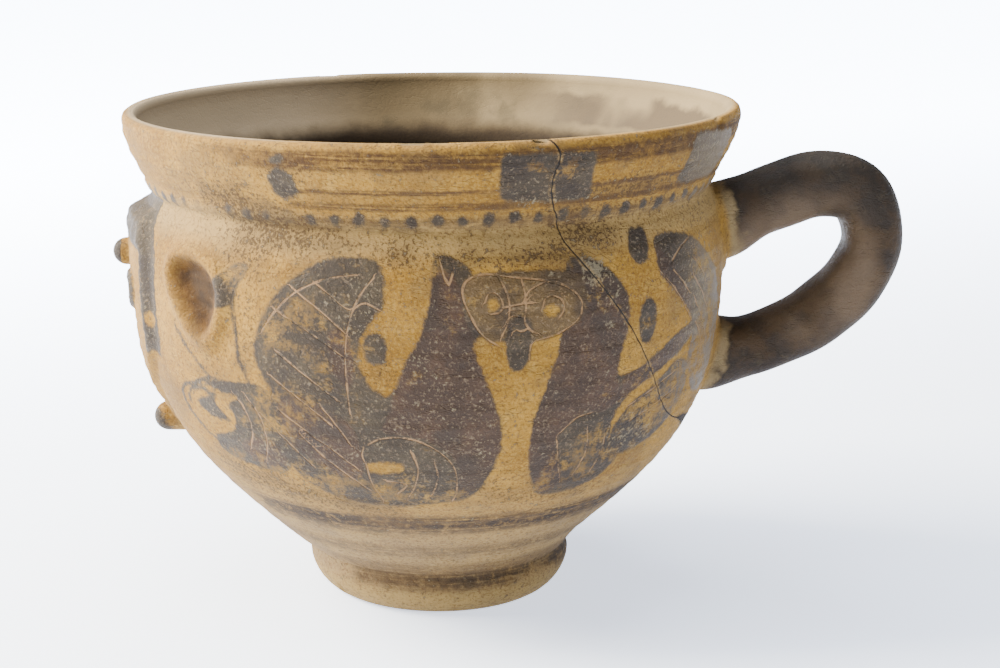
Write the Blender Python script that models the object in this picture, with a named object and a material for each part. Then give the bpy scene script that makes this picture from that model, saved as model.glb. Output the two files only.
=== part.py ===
"""Black-figure cup: a thrown bowl on a disc foot with a flaring lip, one strap handle
and a mask in relief, all one piece of fired clay.

Metres, +Z up. The cup stands on z = 0 with the middle of its foot at the origin. The handle
points towards +X and the mask towards -X.
"""
import math

import bmesh
import bpy
import numpy as np

# The turned body: radii and heights in metres.
RIM_RADIUS = 0.0550
LIP_FLARE = 0.0056
LIP_HEIGHT = 0.0141
LIP_WALL = 0.0032
SHOULDER_HEIGHT = 0.0121
BELLY_SWELL = 0.0031
BOWL_HEIGHT = 0.0544
BOWL_SPREAD = math.radians(44)
WALL = 0.0040
FOOT_RADIUS = 0.0239
FOOT_TAPER = 0.0046
FOOT_HEIGHT = 0.0082
FOOT_UNDERCUT = 0.0003
FLOOR_RISE = 0.0008

# How the hand-made cup departs from a true turning.
BOWL_OFFSET = 0.0015
RIM_LEAN = 0.018

# The strap handle.
HANDLE_THICKNESS = 0.0112
HANDLE_WIDTH = 0.0126
HANDLE_REACH = 0.0276
HANDLE_TOP_DROP = 0.0082
HANDLE_SPAN = 0.0234
HANDLE_RISE = 0.0071
HANDLE_START_ANGLE = math.radians(22)
HANDLE_FLARE = 0.0012
HANDLE_FLARE_LENGTH = 0.0080
HANDLE_SQUARENESS = 2.7

# The mask in relief: its shield, the roll of its brow, its nose, eyes, two bosses and its ears.
MASK_TOP_DROP = 0.0022
MASK_LENGTH = 0.0430
MASK_HALF_WIDTH = 0.0220
MASK_CHIN_HALF_WIDTH = 0.0050
MASK_CORNER = 0.0040
MASK_RELIEF = 0.0013
MASK_EDGE = 0.0020
BROW_HEIGHT = 0.0080
BROW_RELIEF = 0.0009
NOSE_RELIEF = 0.0008
NOSE_HALF_WIDTH = 0.0035
EYE_DISTANCE = 0.0100
EYE_DROP = 0.0130
EYE_LENGTH = 0.0052
EYE_HALF_WIDTH = 0.0034
EYE_RIM = 0.0008
BOSS_RADIUS = 0.0025
BOSS_DROP = 0.0108
BOSS_STANDOFF = 0.0025
MUZZLE_RADIUS = 0.0027
MUZZLE_STANDOFF = 0.0037
EAR_DISTANCE = 0.0378
EAR_DROP = 0.0055
EAR_LENGTH = 0.0120
EAR_HALF_WIDTH = 0.0044
EAR_RIM = 0.0012
RIM_NARROWING = 0.35

# The triangular chip low on the right of the painted side, on a break.
CHIP_SIZE = 0.0030
CHIP_HEIGHT = 0.0351
CHIP_TURN = math.radians(-16.6)

# Heights and radii that follow from the sizes above.
BELLY_Z = FOOT_HEIGHT + BOWL_HEIGHT
NECK_Z = BELLY_Z + SHOULDER_HEIGHT
RIM_Z = NECK_Z + LIP_HEIGHT
NECK_RADIUS = RIM_RADIUS - LIP_FLARE
BELLY_RADIUS = NECK_RADIUS + BELLY_SWELL
FOOT_JOINT_RADIUS = FOOT_RADIUS - FOOT_UNDERCUT

# Where the curves bend, as shares of the stretch that each one covers.
FOOT_WIDEST = 0.75
BOWL_LOW_PULL = 0.44
BOWL_HIGH_PULL = 0.54
SHOULDER_PULL = 0.45
LIP_LOW_PULL = 0.28
LIP_HIGH_PULL = 0.35
CREST_PLACE = 0.68
TIP_PLACE = 0.70
CREST_PULL = 0.21
UPPER_ROOT_PULL = 0.42
LOWER_ROOT_PULL = 0.56
TIP_PULL = 0.42

# How finely the curves are cut into flats.
TURNS = 60
FOOT_STEPS = 4
BOWL_STEPS = 11
SHOULDER_STEPS = 4
LIP_STEPS = 5
RIM_STEPS = 4
FLOOR_STEPS = 3
HANDLE_STEPS = 9
HANDLE_SIDES = 16
MASK_COLUMNS = 20
MASK_ROWS = 20
BOSS_SIDES = 12
BOSS_RINGS = 4
BEAD_STEPS = 18
BEAD_SIDES = 6

TINY = 1e-5


def bezier(start, start_pull, end_pull, end, steps):
    """Points of one cubic Bezier curve, both ends counted."""
    t = np.linspace(0.0, 1.0, steps + 1)[:, None]
    a, b, c, d = (np.array(p, dtype=float) for p in (start, start_pull, end_pull, end))
    return (1 - t) ** 3 * a + 3 * t * (1 - t) ** 2 * b + 3 * t ** 2 * (1 - t) * c + t ** 3 * d


def inward(points, thickness):
    """The same run of (radius, height) points moved into the wall, square to the surface."""
    run = np.gradient(points, axis=0)
    run /= np.linalg.norm(run, axis=1)[:, None]
    return points + thickness[:, None] * np.column_stack([-run[:, 1], run[:, 0]])


def smooth_step(value):
    """0 below 0, 1 above 1, and an even S between."""
    t = np.clip(value, 0.0, 1.0)
    return t * t * (3 - 2 * t)


def foot_curve():
    """The side of the foot, from its flat underside out to its widest and in to the bowl."""
    widest = FOOT_WIDEST * FOOT_HEIGHT
    base = FOOT_RADIUS - FOOT_TAPER
    side = bezier((base, 0.0), (base + 0.45 * FOOT_TAPER, 0.0),
                  (FOOT_RADIUS, 0.55 * widest), (FOOT_RADIUS, widest), FOOT_STEPS)
    return np.vstack([side, [(FOOT_JOINT_RADIUS, FOOT_HEIGHT)]])


def bowl_curve():
    """The outside of the bowl, from the foot up to its widest."""
    spread = BOWL_LOW_PULL * BOWL_HEIGHT
    pull = (FOOT_JOINT_RADIUS + spread * math.cos(BOWL_SPREAD), FOOT_HEIGHT + spread * math.sin(BOWL_SPREAD))
    return bezier((FOOT_JOINT_RADIUS, FOOT_HEIGHT), pull,
                  (BELLY_RADIUS, BELLY_Z - BOWL_HIGH_PULL * BOWL_HEIGHT), (BELLY_RADIUS, BELLY_Z), BOWL_STEPS)


def shoulder_curve():
    """The outside of the bowl, from its widest in to the neck."""
    return bezier((BELLY_RADIUS, BELLY_Z), (BELLY_RADIUS, BELLY_Z + SHOULDER_PULL * SHOULDER_HEIGHT),
                  (NECK_RADIUS + 0.36 * BELLY_SWELL, NECK_Z - 0.20 * SHOULDER_HEIGHT),
                  (NECK_RADIUS, NECK_Z), SHOULDER_STEPS)


def lip_curve():
    """The outside of the lip, from the neck out to the rim."""
    top = RIM_Z - LIP_WALL / 2
    rise = top - NECK_Z
    low_pull = (NECK_RADIUS + LIP_LOW_PULL * LIP_FLARE, NECK_Z + LIP_LOW_PULL * rise)
    high_pull = (RIM_RADIUS, top - LIP_HIGH_PULL * rise)
    return bezier((NECK_RADIUS, NECK_Z), low_pull, high_pull, (RIM_RADIUS, top), LIP_STEPS)


def outer_profile():
    """All (radius, height) points of the outside, from the foot's edge up to the rim."""
    parts = [foot_curve(), bowl_curve()[1:], shoulder_curve()[1:], lip_curve()[1:]]
    return np.vstack(parts)


def cup_profile():
    """The whole section: centre of the underside, outside, rim, inside, centre of the floor."""
    outside = outer_profile()
    turn = np.linspace(0.0, math.pi, RIM_STEPS + 1)[1:-1]
    half = LIP_WALL / 2
    rim = np.column_stack([RIM_RADIUS - half + half * np.cos(turn), RIM_Z - half + half * np.sin(turn)])
    lip = inward(lip_curve(), np.linspace(WALL, LIP_WALL, LIP_STEPS + 1))[1:]
    shoulder = inward(shoulder_curve(), np.full(SHOULDER_STEPS + 1, WALL))[1:-1]
    bowl = inward(bowl_curve(), np.full(BOWL_STEPS + 1, WALL))
    low = bowl[0]
    slope = bowl[1] - bowl[0]
    slope /= np.linalg.norm(slope)
    floor_z = FOOT_HEIGHT + FLOOR_RISE
    floor = bezier((0.0, floor_z), (0.55 * low[0], floor_z), low - 0.3 * low[0] * slope, low, FLOOR_STEPS)
    neck = [(NECK_RADIUS - WALL, NECK_Z)]
    inside = np.vstack([floor[:-1], bowl, shoulder, neck, lip])
    return np.vstack([[(0.0, 0.0)], outside, rim, inside[::-1]])


def outer_radius(height):
    """Radius of the outside at each height, read from the profile."""
    profile = outer_profile()
    order = np.argsort(profile[:, 1])
    return np.interp(height, profile[order, 1], profile[order, 0])


def settle(points):
    """The cup as the kiln left it: the bowl a little off the middle of its foot, the rim leaning."""
    placed = np.array(points, dtype=float)
    off_foot = smooth_step(placed[:, 2] / FOOT_HEIGHT - 0.7)
    in_lip = smooth_step((placed[:, 2] - BELLY_Z) / SHOULDER_HEIGHT)
    placed[:, 2] += RIM_LEAN * placed[:, 0] * in_lip
    placed[:, 0] -= BOWL_OFFSET * off_foot
    return placed


def add_mesh(name, points, faces):
    """One closed mesh object in its settled place, with its faces turned outwards."""
    mesh = bpy.data.meshes.new(name)
    mesh.from_pydata([tuple(p) for p in settle(points)], [], faces)
    shape = bmesh.new()
    shape.from_mesh(mesh)
    bmesh.ops.remove_doubles(shape, verts=shape.verts, dist=TINY)
    bmesh.ops.recalc_face_normals(shape, faces=shape.faces)
    shape.to_mesh(mesh)
    shape.free()
    thing = bpy.data.objects.new(name, mesh)
    bpy.context.scene.collection.objects.link(thing)
    return thing


def grid_faces(rows, columns, closed):
    """Quads over a grid of points laid row by row, joined round when closed."""
    last = columns if closed else columns - 1
    faces = []
    for row in range(rows - 1):
        for column in range(last):
            right = (column + 1) % columns
            faces.append((row * columns + column, row * columns + right,
                          (row + 1) * columns + right, (row + 1) * columns + column))
    return faces


def turned_body():
    """The bowl, lip and foot: the section turned about the Z axis."""
    profile = cup_profile()
    angle = np.linspace(0.0, 2 * math.pi, TURNS, endpoint=False)
    radius, height = profile[:, :1], profile[:, 1:]
    rings = np.stack([radius * np.cos(angle), radius * np.sin(angle), height + 0 * angle], axis=-1)
    return add_mesh("cup", rings.reshape(-1, 3), grid_faces(len(profile), TURNS, True))


def handle_line():
    """The middle line of the handle in the XZ plane, from the upper root round to the lower one."""
    upper_z = NECK_Z - HANDLE_TOP_DROP
    lower_z = upper_z - HANDLE_SPAN
    embed = WALL / 2
    upper = np.array([float(outer_radius(upper_z)) - embed, upper_z])
    lower = np.array([float(outer_radius(lower_z)) - embed, lower_z])
    crest = np.array([BELLY_RADIUS + CREST_PLACE * HANDLE_REACH, upper_z + HANDLE_RISE])
    tip = np.array([BELLY_RADIUS + HANDLE_REACH, lower_z + TIP_PLACE * (crest[1] - lower_z)])
    start = UPPER_ROOT_PULL * (crest[0] - upper[0])
    upper_pull = upper + start * np.array([math.cos(HANDLE_START_ANGLE), math.sin(HANDLE_START_ANGLE)])
    level = np.array([CREST_PULL * HANDLE_REACH, 0.0])
    above_tip = np.array([0.0, (1 - TIP_PULL) * (crest[1] - tip[1])])
    below_tip = np.array([0.0, TIP_PULL * (tip[1] - lower[1])])
    along_root = np.array([LOWER_ROOT_PULL * (tip[0] - lower[0]), 0.0])
    rise = bezier(upper, upper_pull, crest - level, crest, HANDLE_STEPS)
    over = bezier(crest, crest + level, tip + above_tip, tip, HANDLE_STEPS)
    under = bezier(tip, tip - below_tip, lower + along_root, lower, HANDLE_STEPS + 3)
    return np.vstack([rise, over[1:], under[1:]])


def handle():
    """A rounded strap carried along the middle line, wider at both roots, which end in the wall."""
    line = handle_line()
    run = np.gradient(line, axis=0)
    run /= np.linalg.norm(run, axis=1)[:, None]
    across = np.column_stack([-run[:, 1], run[:, 0]])
    travelled = np.concatenate([[0.0], np.cumsum(np.linalg.norm(np.diff(line, axis=0), axis=1))])
    from_root = np.minimum(travelled, travelled[-1] - travelled) - WALL / 2
    flare = HANDLE_FLARE * (1 - smooth_step(from_root / HANDLE_FLARE_LENGTH))
    turn = (np.arange(HANDLE_SIDES) + 0.5) * 2 * math.pi / HANDLE_SIDES
    power = 2 / HANDLE_SQUARENESS
    side = np.sign(np.cos(turn)) * np.abs(np.cos(turn)) ** power
    wide = np.sign(np.sin(turn)) * np.abs(np.sin(turn)) ** power
    reach = side * (HANDLE_THICKNESS / 2 + flare)[:, None]
    x = line[:, :1] + across[:, :1] * reach
    z = line[:, 1:] + across[:, 1:] * reach
    y = wide * (HANDLE_WIDTH / 2 + flare)[:, None]
    for end in (0, -1):
        x[end] = np.sqrt(outer_radius(z[end]) ** 2 - y[end] ** 2) - WALL / 2
    points = np.stack([x, y, z], axis=-1).reshape(-1, 3)
    faces = grid_faces(len(line), HANDLE_SIDES, True)
    faces.append(tuple(range(HANDLE_SIDES))[::-1])
    faces.append(tuple(range(len(points) - HANDLE_SIDES, len(points))))
    return add_mesh("handle_form", points, faces)


def on_bowl(across, down, standoff):
    """Points measured from the mask's top middle round and down the bowl's outside, and off it."""
    height = NECK_Z - MASK_TOP_DROP - down
    angle = math.pi + across / BELLY_RADIUS
    radius = outer_radius(height) + standoff
    return np.stack([radius * np.cos(angle), radius * np.sin(angle), height + 0 * radius], axis=-1)


def mask():
    """The face of the mask: a shield that narrows to the chin, with a rolled brow and a low nose.

    Rows run down it and columns across, as shares of its half width there. The outermost rows and
    columns dip into the wall, and so does the whole back, which closes it.
    """
    share = np.linspace(-1.0, 1.0, MASK_COLUMNS)
    down = np.linspace(0.0, MASK_LENGTH, MASK_ROWS + 1)
    narrowing = smooth_step((down / MASK_LENGTH - 0.5) / 0.5)
    half_width = MASK_HALF_WIDTH + (MASK_CHIN_HALF_WIDTH - MASK_HALF_WIDTH) * narrowing
    half_width -= MASK_CORNER * (1 - smooth_step(down / BROW_HEIGHT))
    across = share[None, :] * half_width[:, None]
    down = down[:, None] + 0 * across
    inset = np.minimum(half_width[:, None] - np.abs(across), np.minimum(down, MASK_LENGTH - down))
    brow = BROW_RELIEF * smooth_step(2 - 2 * down / BROW_HEIGHT)
    nose = NOSE_RELIEF * np.exp(-(across / NOSE_HALF_WIDTH) ** 2)
    face = (MASK_RELIEF + brow + nose) * smooth_step(0.35 + 0.65 * inset / MASK_EDGE)
    back = -0.6 * WALL
    face = np.where(inset < TINY, back, face)
    faces = grid_faces(down.shape[0], down.shape[1], False)
    faces += [tuple(corner + down.size for corner in quad)[::-1] for quad in faces]
    both = [on_bowl(across, down, standoff).reshape(-1, 3) for standoff in (face, back + 0 * face)]
    return add_mesh("mask_form", np.vstack(both), faces)


def stud(name, down, radius, standoff):
    """A round-ended stud on the mask's middle line: a straight neck out of the wall, then half a ball."""
    height = NECK_Z - MASK_TOP_DROP - down
    turn = np.linspace(0.0, math.pi / 2, BOSS_RINGS + 1)
    out = np.concatenate([[-WALL / 2, -WALL / 2], standoff + radius * np.sin(turn)])[:, None]
    round_it = radius * np.concatenate([[0.0, 1.0], np.cos(turn)])[:, None]
    side = (np.arange(BOSS_SIDES) + 0.5) * 2 * math.pi / BOSS_SIDES
    x = -float(outer_radius(height)) - out + 0 * side
    points = np.stack([x, round_it * np.cos(side), height + round_it * np.sin(side)], axis=-1)
    return add_mesh(name, points.reshape(-1, 3), grid_faces(len(out), BOSS_SIDES, True))


def raised_rim(name, middle, drop, length, half_width, thickness, standoff):
    """A raised egg-shaped rim on the bowl, its narrow end down: a round bead, half sunk, that closes."""
    t = np.linspace(0.0, 2 * math.pi, BEAD_STEPS, endpoint=False)
    across = middle + half_width * np.sin(t) * (1 - RIM_NARROWING * np.cos(t))
    down = drop + length * (1 + np.cos(t)) / 2
    line = on_bowl(across, down, np.full(BEAD_STEPS, standoff))
    run = np.roll(line, -1, axis=0) - np.roll(line, 1, axis=0)
    run /= np.linalg.norm(run, axis=1)[:, None]
    out = on_bowl(across, down, np.full(BEAD_STEPS, standoff + 1.0)) - line
    beside = np.cross(run, out)
    turn = np.linspace(0.0, 2 * math.pi, BEAD_SIDES, endpoint=False)
    rings = (line[:, None, :] + thickness * np.cos(turn)[None, :, None] * out[:, None, :]
             + thickness * np.sin(turn)[None, :, None] * beside[:, None, :])
    closed = np.concatenate([rings, rings[:1]])
    return add_mesh(name, closed.reshape(-1, 3), grid_faces(BEAD_STEPS + 1, BEAD_SIDES, True))


def chip():
    """A three-sided wedge that takes the chip out of the bowl's outside."""
    radius = float(outer_radius(CHIP_HEIGHT))
    deep = 0.4 * WALL
    out = 0.3 * WALL
    corners = [(-0.9, 0.1), (0.8, 0.9), (0.5, -0.8)]
    points = [(radius - deep, 0.0, CHIP_HEIGHT)]
    points += [(radius + out, CHIP_SIZE * side, CHIP_HEIGHT + CHIP_SIZE * up) for side, up in corners]
    cos, sin = math.cos(CHIP_TURN), math.sin(CHIP_TURN)
    turned = [(x * cos - y * sin, x * sin + y * cos, z) for x, y, z in points]
    return add_mesh("chip_form", turned, [(1, 2, 3), (0, 2, 1), (0, 3, 2), (0, 1, 3)])


def combine(target, tool, operation):
    """A live Boolean on the cup, with its tool kept as a hidden guide."""
    modifier = target.modifiers.new(tool.name, "BOOLEAN")
    modifier.operation = operation
    modifier.solver = "EXACT"
    modifier.object = tool
    tool.hide_render = True
    tool.display_type = "WIRE"


def painted_clay():
    """Buff earthenware under worn dark slip."""
    material = bpy.data.materials.new("painted earthenware")
    material.use_nodes = True
    shader = material.node_tree.nodes["Principled BSDF"]
    shader.inputs["Base Color"].default_value = (0.40, 0.25, 0.11, 1.0)
    shader.inputs["Roughness"].default_value = 0.75
    shader.inputs["Metallic"].default_value = 0.0
    return material


def main():
    for thing in list(bpy.data.objects):
        bpy.data.objects.remove(thing)
    cup = turned_body()
    combine(cup, handle(), "UNION")
    combine(cup, mask(), "UNION")
    combine(cup, stud("brow_boss_form", BOSS_DROP, BOSS_RADIUS, BOSS_STANDOFF), "UNION")
    muzzle_drop = MASK_LENGTH - MUZZLE_RADIUS / 2
    combine(cup, stud("muzzle_form", muzzle_drop, MUZZLE_RADIUS, MUZZLE_STANDOFF), "UNION")
    for side, hand in (("left", 1), ("right", -1)):
        ear = raised_rim(side + "_ear_form", hand * EAR_DISTANCE, EAR_DROP, EAR_LENGTH,
                         EAR_HALF_WIDTH, EAR_RIM, 0.0)
        eye = raised_rim(side + "_eye_form", hand * EYE_DISTANCE, EYE_DROP, EYE_LENGTH,
                         EYE_HALF_WIDTH, EYE_RIM, MASK_RELIEF)
        combine(cup, ear, "UNION")
        combine(cup, eye, "UNION")
    combine(cup, chip(), "DIFFERENCE")
    cup.data.materials.append(painted_clay())
    cup.data.shade_smooth()
    cup.data.set_sharp_from_angle(angle=math.radians(50))


main()
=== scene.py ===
"""Looks of the black-figure cup: buff earthenware turned on the wheel, painted with worn dark slip.

The cup is one closed mesh. Lengths are in millimetres until a mesh is made. A place on the outside
is given as (turn, height): turn is degrees round from the side that faces the camera, positive
towards the handle, and height is millimetres above the foot.
"""
import math
from functools import partial

import bmesh
import bpy
import numpy as np
from mathutils import Matrix, Vector


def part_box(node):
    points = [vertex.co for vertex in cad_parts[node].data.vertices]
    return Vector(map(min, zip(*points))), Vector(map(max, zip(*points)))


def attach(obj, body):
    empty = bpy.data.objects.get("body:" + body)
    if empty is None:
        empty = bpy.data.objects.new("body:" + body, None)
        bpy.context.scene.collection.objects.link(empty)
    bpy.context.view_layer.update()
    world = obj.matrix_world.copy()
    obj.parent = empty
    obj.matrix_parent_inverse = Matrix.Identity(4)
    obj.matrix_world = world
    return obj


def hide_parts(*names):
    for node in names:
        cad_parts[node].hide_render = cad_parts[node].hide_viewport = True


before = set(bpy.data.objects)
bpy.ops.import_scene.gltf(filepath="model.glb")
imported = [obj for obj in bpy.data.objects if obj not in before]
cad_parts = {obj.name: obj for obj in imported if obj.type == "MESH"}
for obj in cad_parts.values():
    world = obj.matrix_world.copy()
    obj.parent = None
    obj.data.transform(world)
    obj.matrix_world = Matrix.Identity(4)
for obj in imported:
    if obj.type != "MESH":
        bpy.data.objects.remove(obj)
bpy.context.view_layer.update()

MM = 0.001
CUP_LOW, CUP_HIGH = (np.array(corner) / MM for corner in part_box("cup"))

# The turned form. The rim's width is the frame's; the rest are the potter's own sizes.
RIM_RADIUS = (CUP_HIGH[1] - CUP_LOW[1]) / 2
LIP_FLARE = 5.6
LIP_HEIGHT = 14.1
LIP_WALL = 3.2
SHOULDER_HEIGHT = 12.1
BELLY_SWELL = 3.1
BOWL_HEIGHT = 54.4
BOWL_SPREAD = math.radians(44)
WALL = 4.0
FOOT_RADIUS = 23.9
FOOT_TAPER = 4.6
FOOT_HEIGHT = 8.2
FOOT_UNDERCUT = 0.3
FLOOR_RISE = 0.8
BOWL_OFFSET = 1.5
RIM_LEAN = 0.018

BELLY_Z = FOOT_HEIGHT + BOWL_HEIGHT
NECK_Z = BELLY_Z + SHOULDER_HEIGHT
RIM_Z = NECK_Z + LIP_HEIGHT
NECK_RADIUS = RIM_RADIUS - LIP_FLARE
BELLY_RADIUS = NECK_RADIUS + BELLY_SWELL
FOOT_JOINT_RADIUS = FOOT_RADIUS - FOOT_UNDERCUT
ARC = math.radians(BELLY_RADIUS)

# The strap handle.
HANDLE_THICKNESS = 11.2
HANDLE_WIDTH = 12.6
HANDLE_REACH = 27.6
HANDLE_TOP_DROP = 8.2
HANDLE_SPAN = 23.4
HANDLE_RISE = 7.1
HANDLE_START_ANGLE = math.radians(22)
HANDLE_FLARE = 1.2
HANDLE_FLARE_LENGTH = 8.0
HANDLE_SQUARENESS = 2.7

# The mask in relief, measured down from its top and round from its middle.
MASK_TURN = -90.0
MASK_TOP_DROP = 2.2
MASK_LENGTH = 43.0
MASK_HALF_WIDTH = 22.0
MASK_CHIN_HALF_WIDTH = 5.0
MASK_CORNER = 4.0
MASK_RELIEF = 1.3
MASK_EDGE = 2.0
BROW_HEIGHT = 8.0
BROW_RELIEF = 0.9
BROW_LOCK = 2.4
NOSE_RELIEF = 0.8
NOSE_HALF_WIDTH = 3.5
EYE_DISTANCE = 10.0
EYE_DROP = 13.0
EYE_LENGTH = 5.2
EYE_HALF_WIDTH = 3.4
EYE_RIM = 0.8
BOSS_RADIUS = 2.5
BOSS_DROP = 10.8
BOSS_STANDOFF = 2.5
MUZZLE_RADIUS = 2.7
MUZZLE_STANDOFF = 3.7
EAR_DISTANCE = 39.1
EAR_DROP = 4.9
EAR_LENGTH = 12.8
EAR_HALF_WIDTH = 5.7
EAR_RIM = 1.0
EAR_HOLLOW = 1.7
EAR_LEAN = 1.8
EGG_NARROWING = 0.42

# How finely the mesh is laid: the painted side that the camera sees is the finest.
FINE_TURNS = (-116.0, 84.0)
FINE_COLUMNS = 308
COARSE_COLUMNS = 104
INNER_SHARE = 4
FRIEZE_STEP = 0.55
LOW_STEP = 1.0
INSIDE_STEP = 2.0
FRIEZE_BOTTOM = 22.0


def smooth_step(value):
    """0 below 0, 1 above 1, and 3t^2 - 2t^3 between."""
    t = np.clip(value, 0.0, 1.0)
    return t * t * (3 - 2 * t)


def bezier(start, start_pull, end_pull, end, steps=48):
    """Points of a cubic Bezier curve: the four points weighed by the cubic Bernstein polynomials of t."""
    t = np.linspace(0.0, 1.0, steps + 1)[:, None]
    a, b, c, d = (np.array(p, dtype=float) for p in (start, start_pull, end_pull, end))
    return (1 - t) ** 3 * a + 3 * t * (1 - t) ** 2 * b + 3 * t ** 2 * (1 - t) * c + t ** 3 * d


def arc_length(points):
    """Length along a line from its start to each of its points: the running sum of its steps."""
    return np.concatenate([[0.0], np.cumsum(np.linalg.norm(np.diff(points, axis=0), axis=1))])


def square_to(points):
    """Unit normals of a line in its plane: its direction by differences, turned a quarter to the left."""
    run = np.gradient(points, axis=0)
    run /= np.linalg.norm(run, axis=1)[:, None]
    return np.column_stack([-run[:, 1], run[:, 0]])


def resampled(points, step):
    """The same line with points an even step of arc length apart, its ends kept."""
    run = arc_length(points)
    count = max(2, int(round(run[-1] / step)) + 1)
    at = np.linspace(0.0, run[-1], count)
    return np.column_stack([np.interp(at, run, points[:, axis]) for axis in range(points.shape[1])])


def inward(points, thickness):
    """A run of (radius, height) points moved into the wall, square to the surface."""
    return points + thickness[:, None] * square_to(points)


def body_curves():
    """The outside as three Bezier curves: bowl from foot to belly, shoulder to neck, lip to rim."""
    spread = 0.44 * BOWL_HEIGHT
    joint = np.array([FOOT_JOINT_RADIUS, FOOT_HEIGHT])
    pull = joint + spread * np.array([math.cos(BOWL_SPREAD), math.sin(BOWL_SPREAD)])
    bowl = bezier(joint, pull, (BELLY_RADIUS, BELLY_Z - 0.54 * BOWL_HEIGHT), (BELLY_RADIUS, BELLY_Z))
    shoulder = bezier((BELLY_RADIUS, BELLY_Z), (BELLY_RADIUS, BELLY_Z + 0.45 * SHOULDER_HEIGHT),
                      (NECK_RADIUS + 0.36 * BELLY_SWELL, NECK_Z - 0.20 * SHOULDER_HEIGHT),
                      (NECK_RADIUS, NECK_Z))
    top = RIM_Z - LIP_WALL / 2
    rise = top - NECK_Z
    lip = bezier((NECK_RADIUS, NECK_Z), (NECK_RADIUS + 0.28 * LIP_FLARE, NECK_Z + 0.28 * rise),
                 (RIM_RADIUS, top - 0.35 * rise), (RIM_RADIUS, top))
    return bowl, shoulder, lip


def foot_curve():
    """The side of the foot: one Bezier curve from its flat underside out, then in to the bowl."""
    widest = 0.75 * FOOT_HEIGHT
    base = FOOT_RADIUS - FOOT_TAPER
    side = bezier((base, 0.0), (base + 0.45 * FOOT_TAPER, 0.0),
                  (FOOT_RADIUS, 0.55 * widest), (FOOT_RADIUS, widest))
    return np.vstack([side, [(FOOT_JOINT_RADIUS, FOOT_HEIGHT)]])


BOWL_CURVE, SHOULDER_CURVE, LIP_CURVE = body_curves()
OUTSIDE_CURVE = np.vstack([foot_curve(), BOWL_CURVE[1:], SHOULDER_CURVE[1:], LIP_CURVE[1:]])


def outer_radius(height):
    """Radius of the outside at a height, read off its curves."""
    return np.interp(height, OUTSIDE_CURVE[:, 1], OUTSIDE_CURVE[:, 0])


def settle(points):
    """The cup as the kiln left it: the bowl a little off its foot's middle, the rim leaning."""
    placed = np.array(points, dtype=float)
    off_foot = smooth_step(placed[:, 2] / FOOT_HEIGHT - 0.7)
    in_lip = smooth_step((placed[:, 2] - BELLY_Z) / SHOULDER_HEIGHT)
    placed[:, 2] += RIM_LEAN * placed[:, 0] * in_lip
    placed[:, 0] -= BOWL_OFFSET * off_foot
    return placed


def unsettle(points):
    """The place of each settled point in the true turning: settle undone by four rounds of correction."""
    guess = np.array(points, dtype=float)
    for _ in range(4):
        guess += points - settle(guess)
    return guess


def from_stretches(points, a, b):
    """How far each point lies from the nearest place on each stretch a to b, and the stretches."""
    edge = b - a
    length = np.maximum((edge ** 2).sum(axis=1), 1e-12)
    to = points[:, None, :] - a[None]
    t = np.clip((to * edge[None]).sum(axis=2) / length[None], 0.0, 1.0)
    return to - t[..., None] * edge[None], edge


def signed_distance(points, outline):
    """Millimetres inside (+) or outside (-) a closed outline: the nearest edge, signed by crossings."""
    a, b = outline, np.roll(outline, -1, axis=0)
    off, edge = from_stretches(points, a, b)
    nearest = np.sqrt((off ** 2).sum(axis=2).min(axis=1))
    y = points[:, 1:2]
    above = a[None, :, 1] > y
    crosses = above != (b[None, :, 1] > y)
    rise = np.where(edge[:, 1] == 0, 1.0, edge[:, 1])
    at = a[None, :, 0] + (y - a[None, :, 1]) / rise[None] * edge[None, :, 0]
    inside = ((points[:, :1] < at) & crosses).sum(axis=1) % 2 == 1
    return np.where(inside, nearest, -nearest)


def line_distance(points, line):
    """Millimetres to an open line, signed by the side of its nearest stretch that the point lies on."""
    off, edge = from_stretches(points, line[:-1], line[1:])
    squared = (off ** 2).sum(axis=2)
    best = squared.argmin(axis=1)
    row = np.arange(len(points))
    side = edge[best, 0] * off[row, best, 1] - edge[best, 1] * off[row, best, 0]
    return np.sqrt(squared[row, best]) * np.where(side < 0, -1.0, 1.0)


def drawn(places, closed=False, steps=7):
    """A smooth stroke through (turn, height) places, as (arc, height) in mm: a Catmull-Rom spline."""
    p = np.array(places, dtype=float) * (ARC, 1.0)
    if closed:
        p = np.vstack([p[-1:], p, p[:2]])
    else:
        p = np.vstack([2 * p[0] - p[1], p, 2 * p[-1] - p[-2]])
    t = np.linspace(0.0, 1.0, steps, endpoint=False)[:, None, None]
    a, b, c, d = p[None, :-3], p[None, 1:-2], p[None, 2:-1], p[None, 3:]
    curve = 0.5 * (2 * b + (c - a) * t + (2 * a - 5 * b + 4 * c - d) * t ** 2
                   + (3 * b - a - 3 * c + d) * t ** 3)
    curve = curve.transpose(1, 0, 2).reshape(-1, 2)
    return curve if closed else np.vstack([curve, p[-2:-1]])


def egg(middle, low, length, half_width, lean=0.0, steps=28):
    """An egg outline with its narrow end low and put aside by lean.

    Across it is half_width sin t (1 - n cos t) + lean cos t, and up it is length (1 - cos t) / 2.
    """
    t = np.linspace(0.0, 2 * math.pi, steps, endpoint=False)
    across = middle + half_width * np.sin(t) * (1 - EGG_NARROWING * np.cos(t)) + lean * np.cos(t)
    return np.column_stack([across, low + length * (1 - np.cos(t)) / 2])


def oval(turn, height, half_width, half_height, steps=20):
    """An ellipse outline round a (turn, height) place, half sizes in mm."""
    t = np.linspace(0.0, 2 * math.pi, steps, endpoint=False)
    return np.column_stack([turn * ARC + half_width * np.cos(t), height + half_height * np.sin(t)])


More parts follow.
